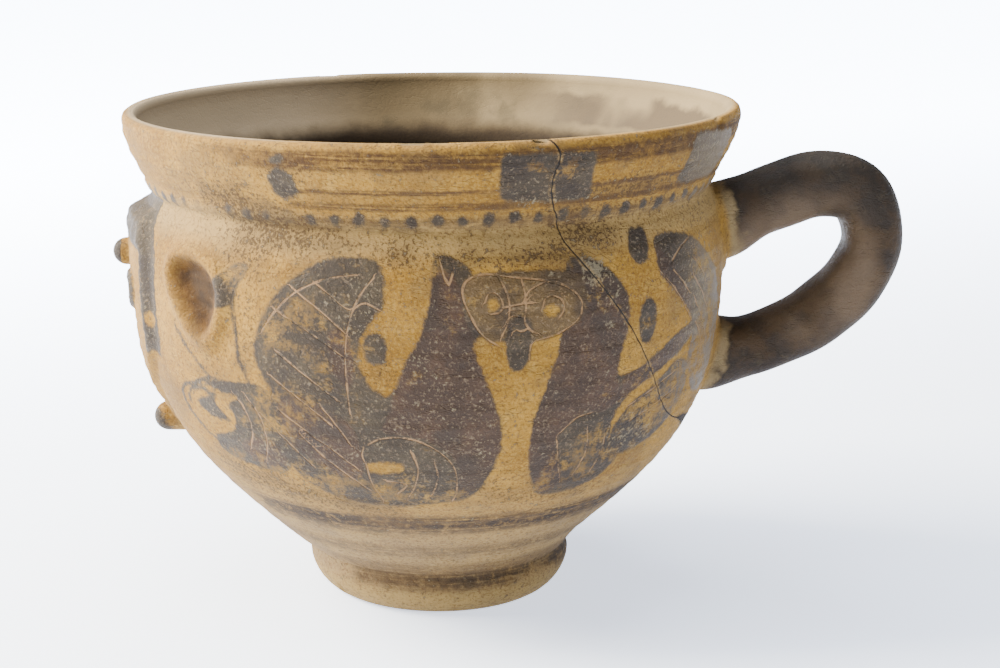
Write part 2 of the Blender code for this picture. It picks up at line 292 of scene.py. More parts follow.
MASK_MIDDLE = MASK_TURN * ARC
MASK_TOP = NECK_Z - MASK_TOP_DROP
EYE_LOW = MASK_TOP - EYE_DROP - EYE_LENGTH
EAR_LOW = MASK_TOP - EAR_DROP - EAR_LENGTH
EYES = [egg(MASK_MIDDLE + hand * EYE_DISTANCE, EYE_LOW, EYE_LENGTH, EYE_HALF_WIDTH) for hand in (1, -1)]
EARS = [egg(MASK_MIDDLE + hand * EAR_DISTANCE, EAR_LOW, EAR_LENGTH, EAR_HALF_WIDTH, hand * EAR_LEAN)
        for hand in (1, -1)]
# The crack runs from the rim down to a gap by the handle.
CRACK = drawn([
    (19.0, 90.5), (19.4, 88.9), (20.6, 87.4), (21.0, 85.8), (20.4, 83.6), (20.3, 81.4), (21.3, 78.4),
    (22.8, 75.6), (23.8, 72.6), (25.5, 70.5), (30, 65.8), (35, 60.4), (40, 54.5), (45, 48.2), (50, 42.5),
    (55, 39.2), (61, 37.2), (70, 35.2), (80, 33)
])
# Chips: turn, height, half sizes and depth in mm.
CHIPS = [
    (73.4, 35.1, 2.7, 1.9, 1.1), (-3.5, 88.9, 2.6, 0.9, 0.5), (1.5, 89.0, 1.6, 0.7, 0.4),
    (18.2, 88.9, 1.5, 1.0, 0.5), (61.0, 88.2, 1.8, 1.6, 0.5), (118.0, 88.8, 2.4, 1.0, 0.5),
    (203.0, 88.9, 2.0, 0.9, 0.4), (-52.0, 2.2, 2.4, 1.2, 0.5), (31.0, 7.4, 2.0, 0.9, 0.4)
]


def measured(places, shape, distance, reach, elsewhere):
    """A distance to a shape, worked out only within reach of the shape's box, and elsewhere a constant."""
    low, high = shape.min(axis=0) - reach, shape.max(axis=0) + reach
    chosen = np.all((places >= low) & (places <= high), axis=1)
    found = np.full(len(places), elsewhere)
    if chosen.any():
        found[chosen] = distance(places[chosen], shape)
    return found


def near(places, outline, reach=4.0):
    """Signed distance to a closed outline, and no less than -reach far from it."""
    return np.maximum(measured(places, outline, signed_distance, reach, -reach), -reach)


def near_line(places, line, reach=4.0):
    """Signed distance to an open line, and reach far from it."""
    return measured(places, line, line_distance, reach, reach)


def shield_inset(across, down):
    """Millimetres in from the mask's edge: to its side, which draws in to the chin, or to its end."""
    narrowing = smooth_step((down / MASK_LENGTH - 0.5) / 0.5)
    half_width = MASK_HALF_WIDTH + (MASK_CHIN_HALF_WIDTH - MASK_HALF_WIDTH) * narrowing
    half_width = half_width - MASK_CORNER * (1 - smooth_step(down / BROW_HEIGHT))
    return np.minimum(half_width - np.abs(across), np.minimum(down, MASK_LENGTH - down))


def bead(distance, size):
    """Height of a half-sunk round bead at a distance from its middle line: sqrt(size^2 - distance^2)."""
    return np.sqrt(np.maximum(size ** 2 - distance ** 2, 0.0))


def mask_relief(places):
    """How far the mask stands off the bowl: a shield with a brow in locks, nose, eyes, cheeks and ears."""
    across, down = places[:, 0] - MASK_MIDDLE, MASK_TOP - places[:, 1]
    inset = shield_inset(across, down)
    brow = smooth_step(2 - 2 * down / BROW_HEIGHT)
    locks = 1 - 0.35 * np.abs(np.sin(math.pi * across / (2 * BROW_LOCK)))
    nose = NOSE_RELIEF * np.exp(-(across / NOSE_HALF_WIDTH) ** 2)
    mouth = 0.5 * np.exp(-((down - 34.5 - 0.05 * across ** 2) / 0.6) ** 2) * (np.abs(across) < 7)
    cheek = 0.35 * np.exp(-((np.abs(across) - 8) ** 2 + (down - 27) ** 2) / 30)
    face = MASK_RELIEF + BROW_RELIEF * brow * locks + nose + cheek - mouth
    height = face * smooth_step((inset + 0.8) / (0.8 + MASK_EDGE))
    for outline in EYES:
        rim = near(places, outline)
        height = height + bead(rim, EYE_RIM) + 0.35 * smooth_step((rim - 0.6) / 1.2)
    for outline in EARS:
        rim = near(places, outline)
        height = height + EAR_RIM * np.exp(-((rim + 1.0) / 1.7) ** 2)
        height = height - EAR_HOLLOW * smooth_step((rim + 0.8) / 4.2)
    return height


def handle_roots(places):
    """A low swell of clay smeared round each root of the handle, by distance from its footprint."""
    swell = np.zeros(len(places))
    for height in (NECK_Z - HANDLE_TOP_DROP, NECK_Z - HANDLE_TOP_DROP - HANDLE_SPAN):
        outline = oval(90.0, height, HANDLE_WIDTH / 2 + HANDLE_FLARE, HANDLE_THICKNESS / 2 + HANDLE_FLARE)
        swell = np.maximum(swell, 0.9 * np.exp(-(np.minimum(near(places, outline), 0.0) / 1.5) ** 2))
    return np.where(swell > 0.01, swell, 0.0)


def outside_relief(turn, height):
    """Radial mm added to the turned outside: relief, moulding, wheel marks, chips and the crack's step."""
    shape = turn.shape
    turn, height = turn.ravel(), height.ravel()
    places = np.column_stack([turn * ARC, height])
    angle = np.radians(turn)
    relief = mask_relief(places) + handle_roots(places)
    moulding = 0.35 * smooth_step((height - 74.9) / 0.9) * smooth_step((77.5 - height) / 0.9)
    grooves = sum(depth * np.exp(-((height - at) / 0.35) ** 2)
                  for at, depth in ((80.4, 0.14), (83.9, 0.10), (24.6, 0.10), (12.9, 0.12), (9.6, 0.10)))
    wheel = 0.05 * np.sin(height * 2.1 + 1.3 * np.sin(angle))
    wheel += 0.04 * np.sin(height * 3.7 + 2.0 * np.sin(2 * angle))
    uneven = (0.16 * np.sin(2 * angle + 0.7) + 0.12 * np.sin(3 * angle + 0.09 * height)
              + 0.08 * np.sin(5 * angle - 0.13 * height)
              - 0.44 * smooth_step((height - NECK_Z) / 10) - 0.03)
    full = 0.4 * np.exp(-((height - 33) / 13) ** 2)
    calm = smooth_step((height - FOOT_HEIGHT) / 6.0)
    relief += moulding - grooves + (wheel + uneven + full) * calm
    for at, up, wide, tall, depth in CHIPS:
        away = ((turn - at + 180) % 360 - 180) * ARC
        ragged = 1 + 0.25 * np.sin(4.1 * away + 2.3 * height)
        inside = 1 - ((away / wide) ** 2 + ((height - up) / tall) ** 2) * ragged
        relief -= depth * smooth_step(inside * 1.6)
    crack = near_line(places, CRACK, 12.0)
    sunk = smooth_step(0.5 - crack / 0.5) * smooth_step(1 - np.abs(crack) / 11)
    relief -= 0.25 * sunk * smooth_step((height - 60) / 20)
    return relief.reshape(shape)


def column_turns():
    """Turns of the mesh columns in degrees: fine over the side in view, coarser behind."""
    fine = np.linspace(*FINE_TURNS, FINE_COLUMNS, endpoint=False)
    coarse = np.linspace(FINE_TURNS[1], FINE_TURNS[0] + 360, COARSE_COLUMNS, endpoint=False)
    return np.concatenate([fine, coarse])


def rings(profile, turns, relief):
    """Points (r sin turn, -r cos turn, height) for a profile and all turns, with r its radius + relief."""
    angle = np.radians(turns)[None, :]
    radius = profile[:, :1] + relief
    high = profile[:, 1:] + 0 * angle
    return np.stack([radius * np.sin(angle), -radius * np.cos(angle), high], axis=-1).reshape(-1, 3)


def grid_quads(rows, columns, start=0):
    """Quads over a grid laid row by row and closed round, numbered from start."""
    row, column = np.mgrid[0:rows - 1, 0:columns]
    right = (column + 1) % columns
    low, high = start + row * columns, start + (row + 1) * columns
    return np.stack([low + column, low + right, high + right, high + column], axis=-1).reshape(-1, 4)


def solid(name, points, faces):
    """One mesh object from points in mm, which are settled and made metres here."""
    mesh = bpy.data.meshes.new(name)
    mesh.from_pydata((settle(points) * MM).tolist(), [], faces)
    mesh.update()
    thing = bpy.data.objects.new(name, mesh)
    bpy.context.scene.collection.objects.link(thing)
    return thing


def rim_arc(start, end):
    """Points of the rim's half circle from one angle to another, the first left out."""
    half = LIP_WALL / 2
    around = np.linspace(start, end, 5)[1:]
    middle = np.array([RIM_RADIUS - half, RIM_Z - half])
    return middle + half * np.column_stack([np.cos(around), np.sin(around)])


def turned_body():
    """The turned vessel as one closed skin.

    The outside runs from a pole under the foot up to the rim, with relief added to its radius. The rim
    is a half circle. The inside runs down to a pole on the floor, with a quarter as many columns.
    """
    underside = np.column_stack([np.linspace(1.5, FOOT_RADIUS - FOOT_TAPER, 13)[:-1], np.zeros(12)])
    foot_low = resampled(foot_curve(), LOW_STEP)
    bowl = resampled(BOWL_CURVE, 0.1)
    low = resampled(bowl[bowl[:, 1] < FRIEZE_BOTTOM], LOW_STEP)
    above = np.vstack([bowl[bowl[:, 1] >= FRIEZE_BOTTOM], SHOULDER_CURVE[1:], LIP_CURVE[1:]])
    high = resampled(above, FRIEZE_STEP)
    outside = np.vstack([underside, foot_low, low[1:], high, rim_arc(0.0, 0.5 * math.pi)])
    turns = column_turns()
    grid_turn = turns[None, :] + 0 * outside[:, :1]
    grid_height = outside[:, 1:] + 0 * turns[None, :]
    relief = outside_relief(grid_turn, grid_height)
    relief[:len(underside)] = 0
    half = LIP_WALL / 2
    top = smooth_step((outside[:, 1:] - (RIM_Z - half)) / half)
    drop = np.minimum(relief + 0.4, 0.0) * top
    outer = rings(outside, turns, relief * (1 - 0.7 * top))
    outer[:, 2] += drop.ravel()

    inner_turns = turns[::INNER_SHARE]
    lip = inward(LIP_CURVE, np.linspace(WALL, LIP_WALL, len(LIP_CURVE)))
    shoulder = inward(SHOULDER_CURVE, np.full(len(SHOULDER_CURVE), WALL))
    wall = inward(BOWL_CURVE, np.full(len(BOWL_CURVE), WALL))
    slope = (wall[1] - wall[0]) / np.linalg.norm(wall[1] - wall[0])
    floor_z = FOOT_HEIGHT + FLOOR_RISE
    floor = bezier((1.5, floor_z), (0.55 * wall[0, 0], floor_z),
                   wall[0] - 0.3 * wall[0, 0] * slope, wall[0])
    neck = [(NECK_RADIUS - WALL, NECK_Z)]
    down = np.vstack([lip[::-1][1:-1], neck, shoulder[::-1][1:-1], wall[::-1], floor[::-1][1:]])
    inside = np.vstack([rim_arc(0.5 * math.pi, math.pi), resampled(down, INSIDE_STEP)])
    ridges = (0.16 * np.sin(inside[:, 1:] * 0.95)
              + 0.10 * np.sin(2 * np.radians(inner_turns)[None, :] + 0.7)) - 0.05
    inner = rings(inside, inner_turns, ridges * smooth_step((RIM_Z - inside[:, 1:]) / 6))

    columns, inner_columns = len(turns), len(inner_turns)
    first, second = len(outer), len(outer) + len(inner)
    points = np.vstack([outer, inner, [(0, 0, 0)], [(0, 0, floor_z)]])
    faces = grid_quads(len(outside), columns).tolist()
    faces += grid_quads(len(inside), inner_columns, first).tolist()
    brink = first - columns
    for column in range(inner_columns):
        beyond = (column + 1) % inner_columns
        arc = [brink + (column * INNER_SHARE + step) % columns for step in range(INNER_SHARE + 1)]
        faces.append(arc + [first + beyond, first + column])
    under = [[(column + 1) % columns, column, second] for column in range(columns)]
    last = second - inner_columns
    over = [[last + column, last + (column + 1) % inner_columns, second + 1]
            for column in range(inner_columns)]
    return solid("painted_cup", points, faces + under + over)


def handle_line():
    """Middle line of the handle in XZ: three Bezier curves, up to a crest, over to a tip and under."""
    upper_z = NECK_Z - HANDLE_TOP_DROP
    lower_z = upper_z - HANDLE_SPAN
    upper = np.array([float(outer_radius(upper_z)) - WALL / 2, upper_z])
    lower = np.array([float(outer_radius(lower_z)) - WALL / 2, lower_z])
    crest = np.array([BELLY_RADIUS + 0.68 * HANDLE_REACH, upper_z + HANDLE_RISE])
    tip = np.array([BELLY_RADIUS + HANDLE_REACH, lower_z + 0.70 * (crest[1] - lower_z)])
    start = 0.42 * (crest[0] - upper[0])
    upper_pull = upper + start * np.array([math.cos(HANDLE_START_ANGLE), math.sin(HANDLE_START_ANGLE)])
    level = np.array([0.21 * HANDLE_REACH, 0.0])
    rise = bezier(upper, upper_pull, crest - level, crest)
    over = bezier(crest, crest + level, tip + [0.0, 0.58 * (crest[1] - tip[1])], tip)
    under = bezier(tip, tip - [0.0, 0.42 * (tip[1] - lower[1])],
                   lower + [0.56 * (tip[0] - lower[0]), 0.0], lower)
    return resampled(np.vstack([rise, over[1:], under[1:]]), 0.9)


def handle():
    """The strap: a rounded oblong |x|^n + |y|^n = 1 carried along its line, pressed a little unevenly."""
    line = handle_line()
    across = square_to(line)
    travelled = arc_length(line)
    from_root = np.minimum(travelled, travelled[-1] - travelled) - WALL / 2
    flare = HANDLE_FLARE * (1 - smooth_step(from_root / HANDLE_FLARE_LENGTH))
    sides = 44
    turn = (np.arange(sides) + 0.5) * 2 * math.pi / sides
    power = 2 / HANDLE_SQUARENESS
    side = np.sign(np.cos(turn)) * np.abs(np.cos(turn)) ** power
    wide = np.sign(np.sin(turn)) * np.abs(np.sin(turn)) ** power
    along = travelled[:, None]
    pressed = 1 - 0.022 * (1 + np.sin(0.23 * along + 2 * turn))
    pressed = pressed - 0.012 * (1 + np.sin(0.61 * along - 3 * turn))
    reach = side * (HANDLE_THICKNESS / 2 + flare)[:, None] * pressed
    x = line[:, :1] + across[:, :1] * reach
    z = line[:, 1:] + across[:, 1:] * reach
    y = wide * (HANDLE_WIDTH / 2 + flare)[:, None] * pressed
    for end in (0, -1):
        x[end] = np.sqrt(outer_radius(z[end]) ** 2 - y[end] ** 2) - WALL / 2
    points = np.stack([x, y, z], axis=-1).reshape(-1, 3)
    faces = grid_quads(len(line), sides).tolist()
    faces.append(list(range(sides))[::-1])
    faces.append(list(range(len(points) - sides, len(points))))
    return solid("handle_form", points, faces)


def stud(name, height, radius, standoff):
    """A round-ended stud on the mask's middle line: a neck out of the wall, then half a ball."""
    sides = 26
    turn = np.linspace(0.0, math.pi / 2, 9)[:-1]
    out = np.concatenate([[-WALL / 2], standoff - 0.06 + radius * np.sin(turn)])[:, None]
    round_it = radius * np.concatenate([[1.0], np.cos(turn)])[:, None]
    side = (np.arange(sides) + 0.5) * 2 * math.pi / sides
    x = -float(outer_radius(height)) - out + 0 * side
    ring = np.stack([x, round_it * np.cos(side), height + round_it * np.sin(side)], axis=-1).reshape(-1, 3)
    tip = [(x[-1, 0] - radius * (1 - math.sin(turn[-1])), 0.0, height)]
    points = np.vstack([ring, tip])
    last = len(ring) - sides
    faces = grid_quads(len(out), sides).tolist() + [list(range(sides))[::-1]]
    faces += [[last + k, last + (k + 1) % sides, len(ring)] for k in range(sides)]
    return solid(name, points, faces)


def outward(thing):
    """Turns every face of a closed mesh object outwards."""
    shape = bmesh.new()
    shape.from_mesh(thing.data)
    bmesh.ops.recalc_face_normals(shape, faces=shape.faces)
    shape.to_mesh(thing.data)
    shape.free()


def joined(target, tools):
    """The target with each tool added by a Boolean union, as one mesh; the tools are used up."""
    for tool in tools:
        modifier = target.modifiers.new(tool.name, "BOOLEAN")
        modifier.operation = "UNION"
        modifier.solver = "MANIFOLD"
        modifier.object = tool
    seen = target.evaluated_get(bpy.context.evaluated_depsgraph_get())
    mesh = bpy.data.meshes.new_from_object(seen)
    target.modifiers.clear()
    target.data = mesh
    for tool in tools:
        bpy.data.objects.remove(tool)
    return target


# The painted frieze, as outlines drawn through (turn, height) places. Both sides of the cup carry it.
LEFT_BODY = [
    (0.5, 70.8), (-0.5, 64), (-2.5, 58), (-4.5, 54.5), (-6, 51), (-7.4, 48.7), (-9, 48.9), (-11, 50.4),
    (-12.6, 53), (-16, 54), (-22, 52.5), (-29, 50), (-31, 44), (-30, 37), (-27, 31.5), (-20, 28.5),
    (-10, 27.6), (0, 28.2), (8, 29.5), (11.2, 33.5), (12.9, 38.5), (12.8, 42.5), (11.5, 46.5), (10, 50),
    (8.5, 53.5), (7.2, 57), (9, 60), (8, 66), (5, 70)
]
WING = [
    (-33, 53), (-32.6, 56), (-31, 60), (-28, 64), (-23, 68), (-18, 70.3), (-12, 70.8), (-9, 69.6),
    (-8, 66.5), (-8.3, 63.4), (-10, 61), (-12, 58), (-12.8, 54), (-12.5, 49), (-13, 45), (-22, 45),
    (-30, 48)
]
FACE = [
    (5.0, 66.3), (6.3, 67.9), (9, 68.4), (13, 68.4), (19, 68.3), (24, 67.8), (27.4, 66.2), (27.2, 61),
    (24, 58.7), (20.5, 57.5), (17.4, 57.2), (17.3, 55), (16.2, 53), (15, 52.3), (13.6, 53), (12.7, 55),
    (12.5, 57.2), (9.6, 57.6), (7.4, 60), (5.8, 62.4)
]
RIGHT_BODY = [
    (24.5, 69.4), (28, 69.6), (30.4, 68.8), (33.5, 66.6), (36.2, 63.4), (37, 60), (36.5, 56.5), (35.6, 53),
    (35.5, 50), (38.5, 49.8), (44, 51.6), (50, 54.3), (55, 55.5), (58, 56.5), (57.5, 54), (54, 51.6),
    (48, 49.2), (42, 47), (38.4, 45.2), (36.4, 42), (37, 38), (40, 35.4), (41, 32.5), (37, 29.6),
    (30, 28.4), (23.6, 28.8), (20.6, 32), (19, 36), (18.4, 40), (18.6, 44), (19.8, 48), (21.3, 52),
    (22.4, 56), (22.6, 60), (22.6, 65)
]
TAIL_WING = [
    (44.4, 66), (44.2, 70.6), (47.5, 71.3), (52, 70.8), (58, 69.2), (64, 65.6), (69, 61.8), (72.5, 56),
    (74, 50), (73, 44), (69, 41), (63, 42), (58.5, 46), (56.5, 50), (57, 53), (55.6, 56.6), (51, 60.6),
    (47, 63.6)
]
TAIL_FEATHERS = [
    (40, 44.0), (46, 46.6), (52, 49.6), (57.5, 48), (58, 42), (53, 37), (45, 34.4), (39, 35), (36.4, 39)
]
LEFT_HEAD = [
    (-47.4, 46.6), (-44, 47.4), (-38, 48.2), (-33, 48.2), (-30, 46), (-28, 41), (-28, 36), (-31, 32.5),
    (-37, 32), (-44, 32.6), (-49, 34.4), (-48, 37), (-44.6, 37.8), (-41.6, 38.8), (-40.4, 41),
    (-41.2, 43.6), (-38.6, 45.4), (-43.5, 45.8)
]
FIGURES = [LEFT_BODY, WING, FACE, RIGHT_BODY, TAIL_WING, TAIL_FEATHERS, LEFT_HEAD]
CHANNELS = [
    [
        (-8.1, 66), (-6, 59.5), (-5, 55), (-6.2, 51), (-7.5, 48.8), (-9.4, 49.4), (-11.2, 51), (-12.4, 53),
        (-12.2, 56.6), (-11.4, 59), (-9.6, 61.5), (-8.2, 63.6)
    ],
    [
        (7.0, 57.4), (9.6, 57.4), (12.4, 57.2), (12.6, 55), (13.5, 52.9), (15, 52.1), (16.3, 52.9),
        (17.4, 55), (17.5, 57.2), (20, 57.4), (22.4, 57.4), (21.2, 52), (19.7, 48), (18.5, 44), (18.3, 40),
        (19, 36), (20.6, 31.5), (22.8, 27), (17, 25.6), (9, 28.2), (11, 32.6), (13, 38.5), (12.9, 42.5),
        (11.6, 46.5), (10.1, 50), (8.7, 53.5)
    ],
    [(-12.4, 36.2), (-8, 36.6), (-5.6, 36.2), (-5.8, 35), (-9, 34.6), (-12, 34.8)],
]
SMALL_SHAPES = [
    [
        (-51.2, 42.6), (-48.4, 43.7), (-45.4, 44.4), (-44.4, 42.6), (-41.6, 40.6), (-43.4, 40.2),
        (-46.4, 40.4), (-49.6, 41.2)
    ],
    [(-11.9, 57), (-10.9, 58.7), (-8.8, 58.6), (-7.7, 56.8), (-7.9, 54.4), (-9.2, 53.6), (-11.2, 54)],
    [(37.4, 70), (37.9, 72.2), (40, 72.9), (42.3, 72.4), (42.5, 70), (41.6, 68), (39.8, 67.4), (38.2, 68)],
    [(40.2, 61.6), (42.6, 61.8), (43.9, 59.2), (43.6, 55.6), (42, 54.2), (40.2, 55.2), (39.3, 58.4)],
    [
        (-42.2, 61.6), (-42, 64.4), (-39.8, 66.2), (-36.8, 68.2), (-34, 67.6), (-35.8, 64.6),
        (-37.2, 61.4), (-40, 60.4)
    ],
]
PURPLE = [
    [
        (0.5, 69), (-0.8, 62), (-3, 57), (-5, 53.5), (-6.5, 50), (-7.5, 46), (-9, 42.4), (-4, 41.6),
        (1.4, 39.8), (5, 36), (5.6, 31), (9, 31), (12.9, 38.5), (12.8, 42.5), (10, 50), (8, 57), (5.4, 62),
        (4.6, 67)
    ],
    [
        (22.6, 60), (24, 67.6), (31, 67.0), (35, 64.5), (37, 60), (36.4, 55), (35.5, 49), (38, 46),
        (34, 43.5), (28.4, 43.8), (24, 39), (28, 31), (23.6, 29), (19, 36), (18.4, 42), (21.3, 52),
        (22.6, 56.5)
    ],
    [(37.6, 50), (44, 51.4), (50, 54), (55, 55.3), (57, 55), (54, 52), (48, 49.4), (42, 47), (37, 45)],
    [
        (44.4, 69.6), (47.4, 67.6), (51.5, 63.4), (55.6, 58.8), (54.4, 56), (50, 59.6), (46, 63.4),
        (44.4, 65)
    ],
    [(-18.2, 58.5), (-15, 58.8), (-13.6, 54), (-14.5, 49.4), (-17.5, 52)],
    [(-29, 46), (-24, 47.5), (-19, 45.4), (-14, 42), (-13.5, 34), (-18, 33), (-22, 35), (-28, 39)],
    [(-41, 36), (-36, 38.5), (-30, 37), (-31, 33.5), (-38, 33)],
]
MUZZLE = [(20.5, 57.6), (17.5, 57.8), (17, 60.2), (15, 61.6), (13.3, 60.2), (12.4, 57.8)]
BROWN = [FACE[:9] + MUZZLE + FACE[-3:]]
# Lines scratched through the slip to the clay. No two in one group come near each other.
FACE_EDGE = [
    (11.6, 56.6), (8.6, 58.6), (6.6, 61.6), (5.2, 64.8), (5.6, 67), (8.6, 68.1), (13, 67.6), (19, 66.8),
    (24, 65.4), (26.5, 63), (26, 60.4), (23, 58.5), (19.6, 57.6), (17.4, 57), (16.9, 54.8)
]
SCRATCHES = [
    [
        FACE_EDGE,
        [(8.9, 63.8), (9.6, 65.2), (11, 65.1), (12, 63.6), (11.6, 62.2), (10.4, 62.0)],
        [(19.1, 62.6), (19.6, 64), (21.2, 64.3), (22.8, 63.4), (23, 61.8), (22, 60.6)],
        [(-10, 67.6), (-12.4, 64.6), (-14.4, 60), (-15.1, 55), (-15, 50), (-14.7, 45)],
        [(-12.6, 39.5), (-9, 41.1), (-4, 41.2), (1, 39.1), (4.4, 35.6), (5.1, 31), (4.4, 28.8)],
        [(-12.6, 36), (-12, 32.2), (-10.4, 28.8)],
        [(48, 66.6), (51.4, 68.4), (55, 69.5)],
        [(55.6, 66.8), (60, 63.6), (64.6, 58.4)],
        [(56, 63.4), (60.6, 59.6), (66.6, 53.4)],
        [(56.6, 59.6), (61, 55.4), (66, 49.6)],
        [(58.4, 55), (61.6, 51.6), (63.6, 47.4)],
        [(24.6, 41), (27.4, 43.2), (31, 43.8)],
        [(39, 43.4), (45, 45.4), (52, 47.6)],
        [(3.6, 68.6), (2.6, 66.6), (1.2, 70.4)],
    ],
    [
        [(11.4, 67.6), (12.6, 65.4), (13.2, 63.2), (13, 60.6), (11.9, 58.2)],
        [(15.4, 66.9), (16.0, 64.6), (16.1, 62.4), (15.9, 60.6), (17.2, 58.9), (18.6, 58.4)],
        [(-9, 62.6), (-11.6, 63.6), (-14.2, 62.4), (-17.4, 64.4), (-20.2, 66.2)],
        [(-14.8, 58.4), (-19, 61.6), (-25, 65.4)],
        [(-15.2, 54.6), (-21, 58), (-28.4, 61.6)],
        [(-28.2, 54.6), (-23, 51.2), (-17, 47.4)],
        [(-30, 50.4), (-24, 46.6), (-18.6, 43)],
        [(-29, 44.4), (-24, 41.4), (-19, 38.4), (-14.4, 35)],
        [(-25.2, 40.6), (-20.2, 36.2), (-13, 31)],
        [(-33, 43), (-29, 39.4), (-24, 34.8)],
        [(-3.6, 38.6), (-2.6, 35.4), (-3.4, 32), (-5, 29.4)],
        [(0.6, 36.6), (1.2, 34), (0.4, 31), (-1, 29)],
        [(-39.4, 46), (-37, 43.4), (-36.4, 39.6), (-38.4, 36)],
        [(48, 66), (51, 63.8), (54.4, 61)],
        [(24, 39.6), (25.9, 34.6), (27.6, 31.4)],
        [(40, 40.4), (46, 42), (54, 44.2)],
    ],
    [
        [(15.6, 63.6), (16.6, 65.2), (18.6, 66.2), (21, 66.5), (23.2, 65.9)],
        [(12, 62.9), (14.6, 63.3), (17.4, 63.5)],
        [(12.4, 60.2), (13.4, 61.4), (14.8, 61.5)],
        [(13.6, 58.6), (14.4, 59.3), (15.4, 58.9), (16.6, 59.4), (17.2, 58.9)],
        [(-31, 57.6), (-28.6, 60.6), (-24.6, 64.2), (-19, 66.9), (-13, 68)],
        [(-20.2, 46), (-17.6, 43), (-15, 39.4)],
        [(-12.6, 39.5), (-13.2, 37.8), (-12.6, 36)],
        [(-36.4, 46.2), (-33.6, 42.6), (-33.4, 38), (-35.4, 34)],
        [(44.4, 66), (49.4, 62.2), (53.4, 58.4), (55.8, 56.2)],
        [(30.6, 40.6), (31.6, 36.4), (30.8, 32.4)],
        [(35, 40), (35.8, 36), (35, 32)],
        [(-9, 33), (-5, 32.4), (-7, 30.4)],
    ],
]
# Single brush strokes round the beak and by the left wing, and half their width.
BRUSH_HALF_WIDTH = 0.42
BRUSHED = [
    [(-48.6, 35.4), (-53.4, 38.2), (-56.4, 42), (-54.6, 44.6), (-50.4, 45.8), (-45, 47.6), (-39.4, 47.2)],
    [(-44.4, 44.6), (-49, 45.4), (-52.6, 44.2), (-54, 42)],
    [(-37.6, 64), (-36.8, 56), (-36.5, 52), (-34, 47)],
    [(-54.4, 54.8), (-50, 51.2), (-44.5, 47.6)],
]
# Pupils: turn, height and half sizes in mm.
PUPILS = [(10.4, 63.4, 0.8, 1.0), (20.7, 62.0, 1.4, 0.95)]
# The row of dots under the lip: the turn of one dot, the turn to the next, their height and radius.
DOT_TURN, DOT_STEP, DOT_HEIGHT, DOT_RADIUS = -3.7, 4.55, 76.3, 1.02
# Lines painted round the mask's eyes: half widths of the inner one and the outer one, and the place of
# the outer one outside the eye's outline.
EYE_LINE, EYE_RING, EYE_RING_PLACE = 0.75, 0.9, 2.6
# The strip down the mask's edge: half its width and its length. Below a height it has bare spots.
STRIP_HALF_WIDTH, STRIP_LENGTH, SPOTS_FROM = 2.6, 25.0, 14.0
SPOT_STEP, SPOT_RADIUS = 7.0, 1.3
# The bare patch on the inner face of the handle's loop: its radius and how far it fades.
PALM_RADIUS, PALM_FADE = 11.0, 5.0
# Square and round grey blots over the bands of the lip, and the gap at the crack's lower end.
BLOTS = [
    [
        (-28.3, 81.4), (-28, 83.6), (-26.6, 84.6), (-24.4, 84.2), (-23.2, 82.6), (-23.4, 80.4),
        (-25.4, 79.4), (-27.6, 79.8)
    ],
    [(-27.8, 85.6), (-26.4, 86.8), (-24.8, 86.4), (-25.2, 85.2)],
    [
        (11.3, 79.8), (11.1, 81), (10.8, 84), (10.9, 86.6), (11.4, 87.1), (14, 87), (19, 86.9), (24, 86.7),
        (27.2, 86.6), (27.8, 86), (27.9, 83), (28.2, 79.6), (27.2, 78.6), (23, 78.5), (18, 78.8),
        (13, 79.2)
    ],
    [
        (49.4, 79.8), (50.2, 82), (51.2, 86), (52.2, 87.2), (58, 87), (65, 86.6), (68.4, 86), (68.6, 83.6),
        (67.6, 80.4), (66.4, 78.6), (60, 78.4), (52, 78.7)
    ],
]
GAPE = [
    (60, 37.6), (66, 36.9), (72, 35.8), (78, 34.4), (82, 33), (80, 32), (74, 33.2), (68, 34.6), (63, 36.2)
]
# Rubbed places: turn, height, half sizes in mm, and how much of the slip has gone.
RUBBED = [
    (-22, 58, 9.0, 9.0, 0.62), (-17.5, 62, 2.4, 2.8, -0.5), (-21.4, 57.6, 2.6, 2.0, -0.5),
    (-23.6, 52.2, 2.6, 3.0, -0.5), (-23.2, 65.2, 2.4, 1.6, -0.4), (-10, 65, 2.4, 4.4, -0.3),
    (-16, 54, 2.0, 3.0, -0.4), (-29, 43, 9.0, 5.0, 0.34), (-16, 42, 4.0, 4.0, -0.1),
    (-16, 30, 10.0, 3.5, 0.4), (-2, 30, 8.0, 1.8, 0.3), (-6, 33.5, 4.0, 1.6, 0.2),
    (-40, 34, 8.0, 4.0, 0.1), (66, 54, 8.0, 9.0, 0.45), (47, 42, 9.0, 6.0, 0.5),
    (-30, 32, 12.0, 3.5, 0.35), (33, 35, 8.0, 6.0, 0.42), (23, 32, 4.0, 4.0, 0.2), (60, 46, 7.0, 6.0, 0.4),
    (14, 30, 9.0, 3.0, 0.3), (62, 66, 7.0, 5.0, 0.35), (-12, 69, 4.0, 2.0, 0.2), (31, 64, 3.5, 5.0, 0.2),
    (-36, 66, 4.0, 4.0, 0.45), (16, 84.6, 2.6, 0.9, 0.5), (22.4, 84.2, 1.6, 1.6, 0.6),
    (-2, 52, 2.0, 2.4, 0.3), (-46, 76.3, 12.0, 1.6, 0.7), (-26, 76.3, 5.0, 1.6, 0.5),
    (29, 76.3, 7.0, 1.6, 0.35), (62, 76.3, 10.0, 1.6, 0.2), (42, 58, 2.4, 3.0, 0.25),
    (1, 69, 3.0, 2.4, 0.25), (13, 64, 9.0, 5.0, 0.12)
]
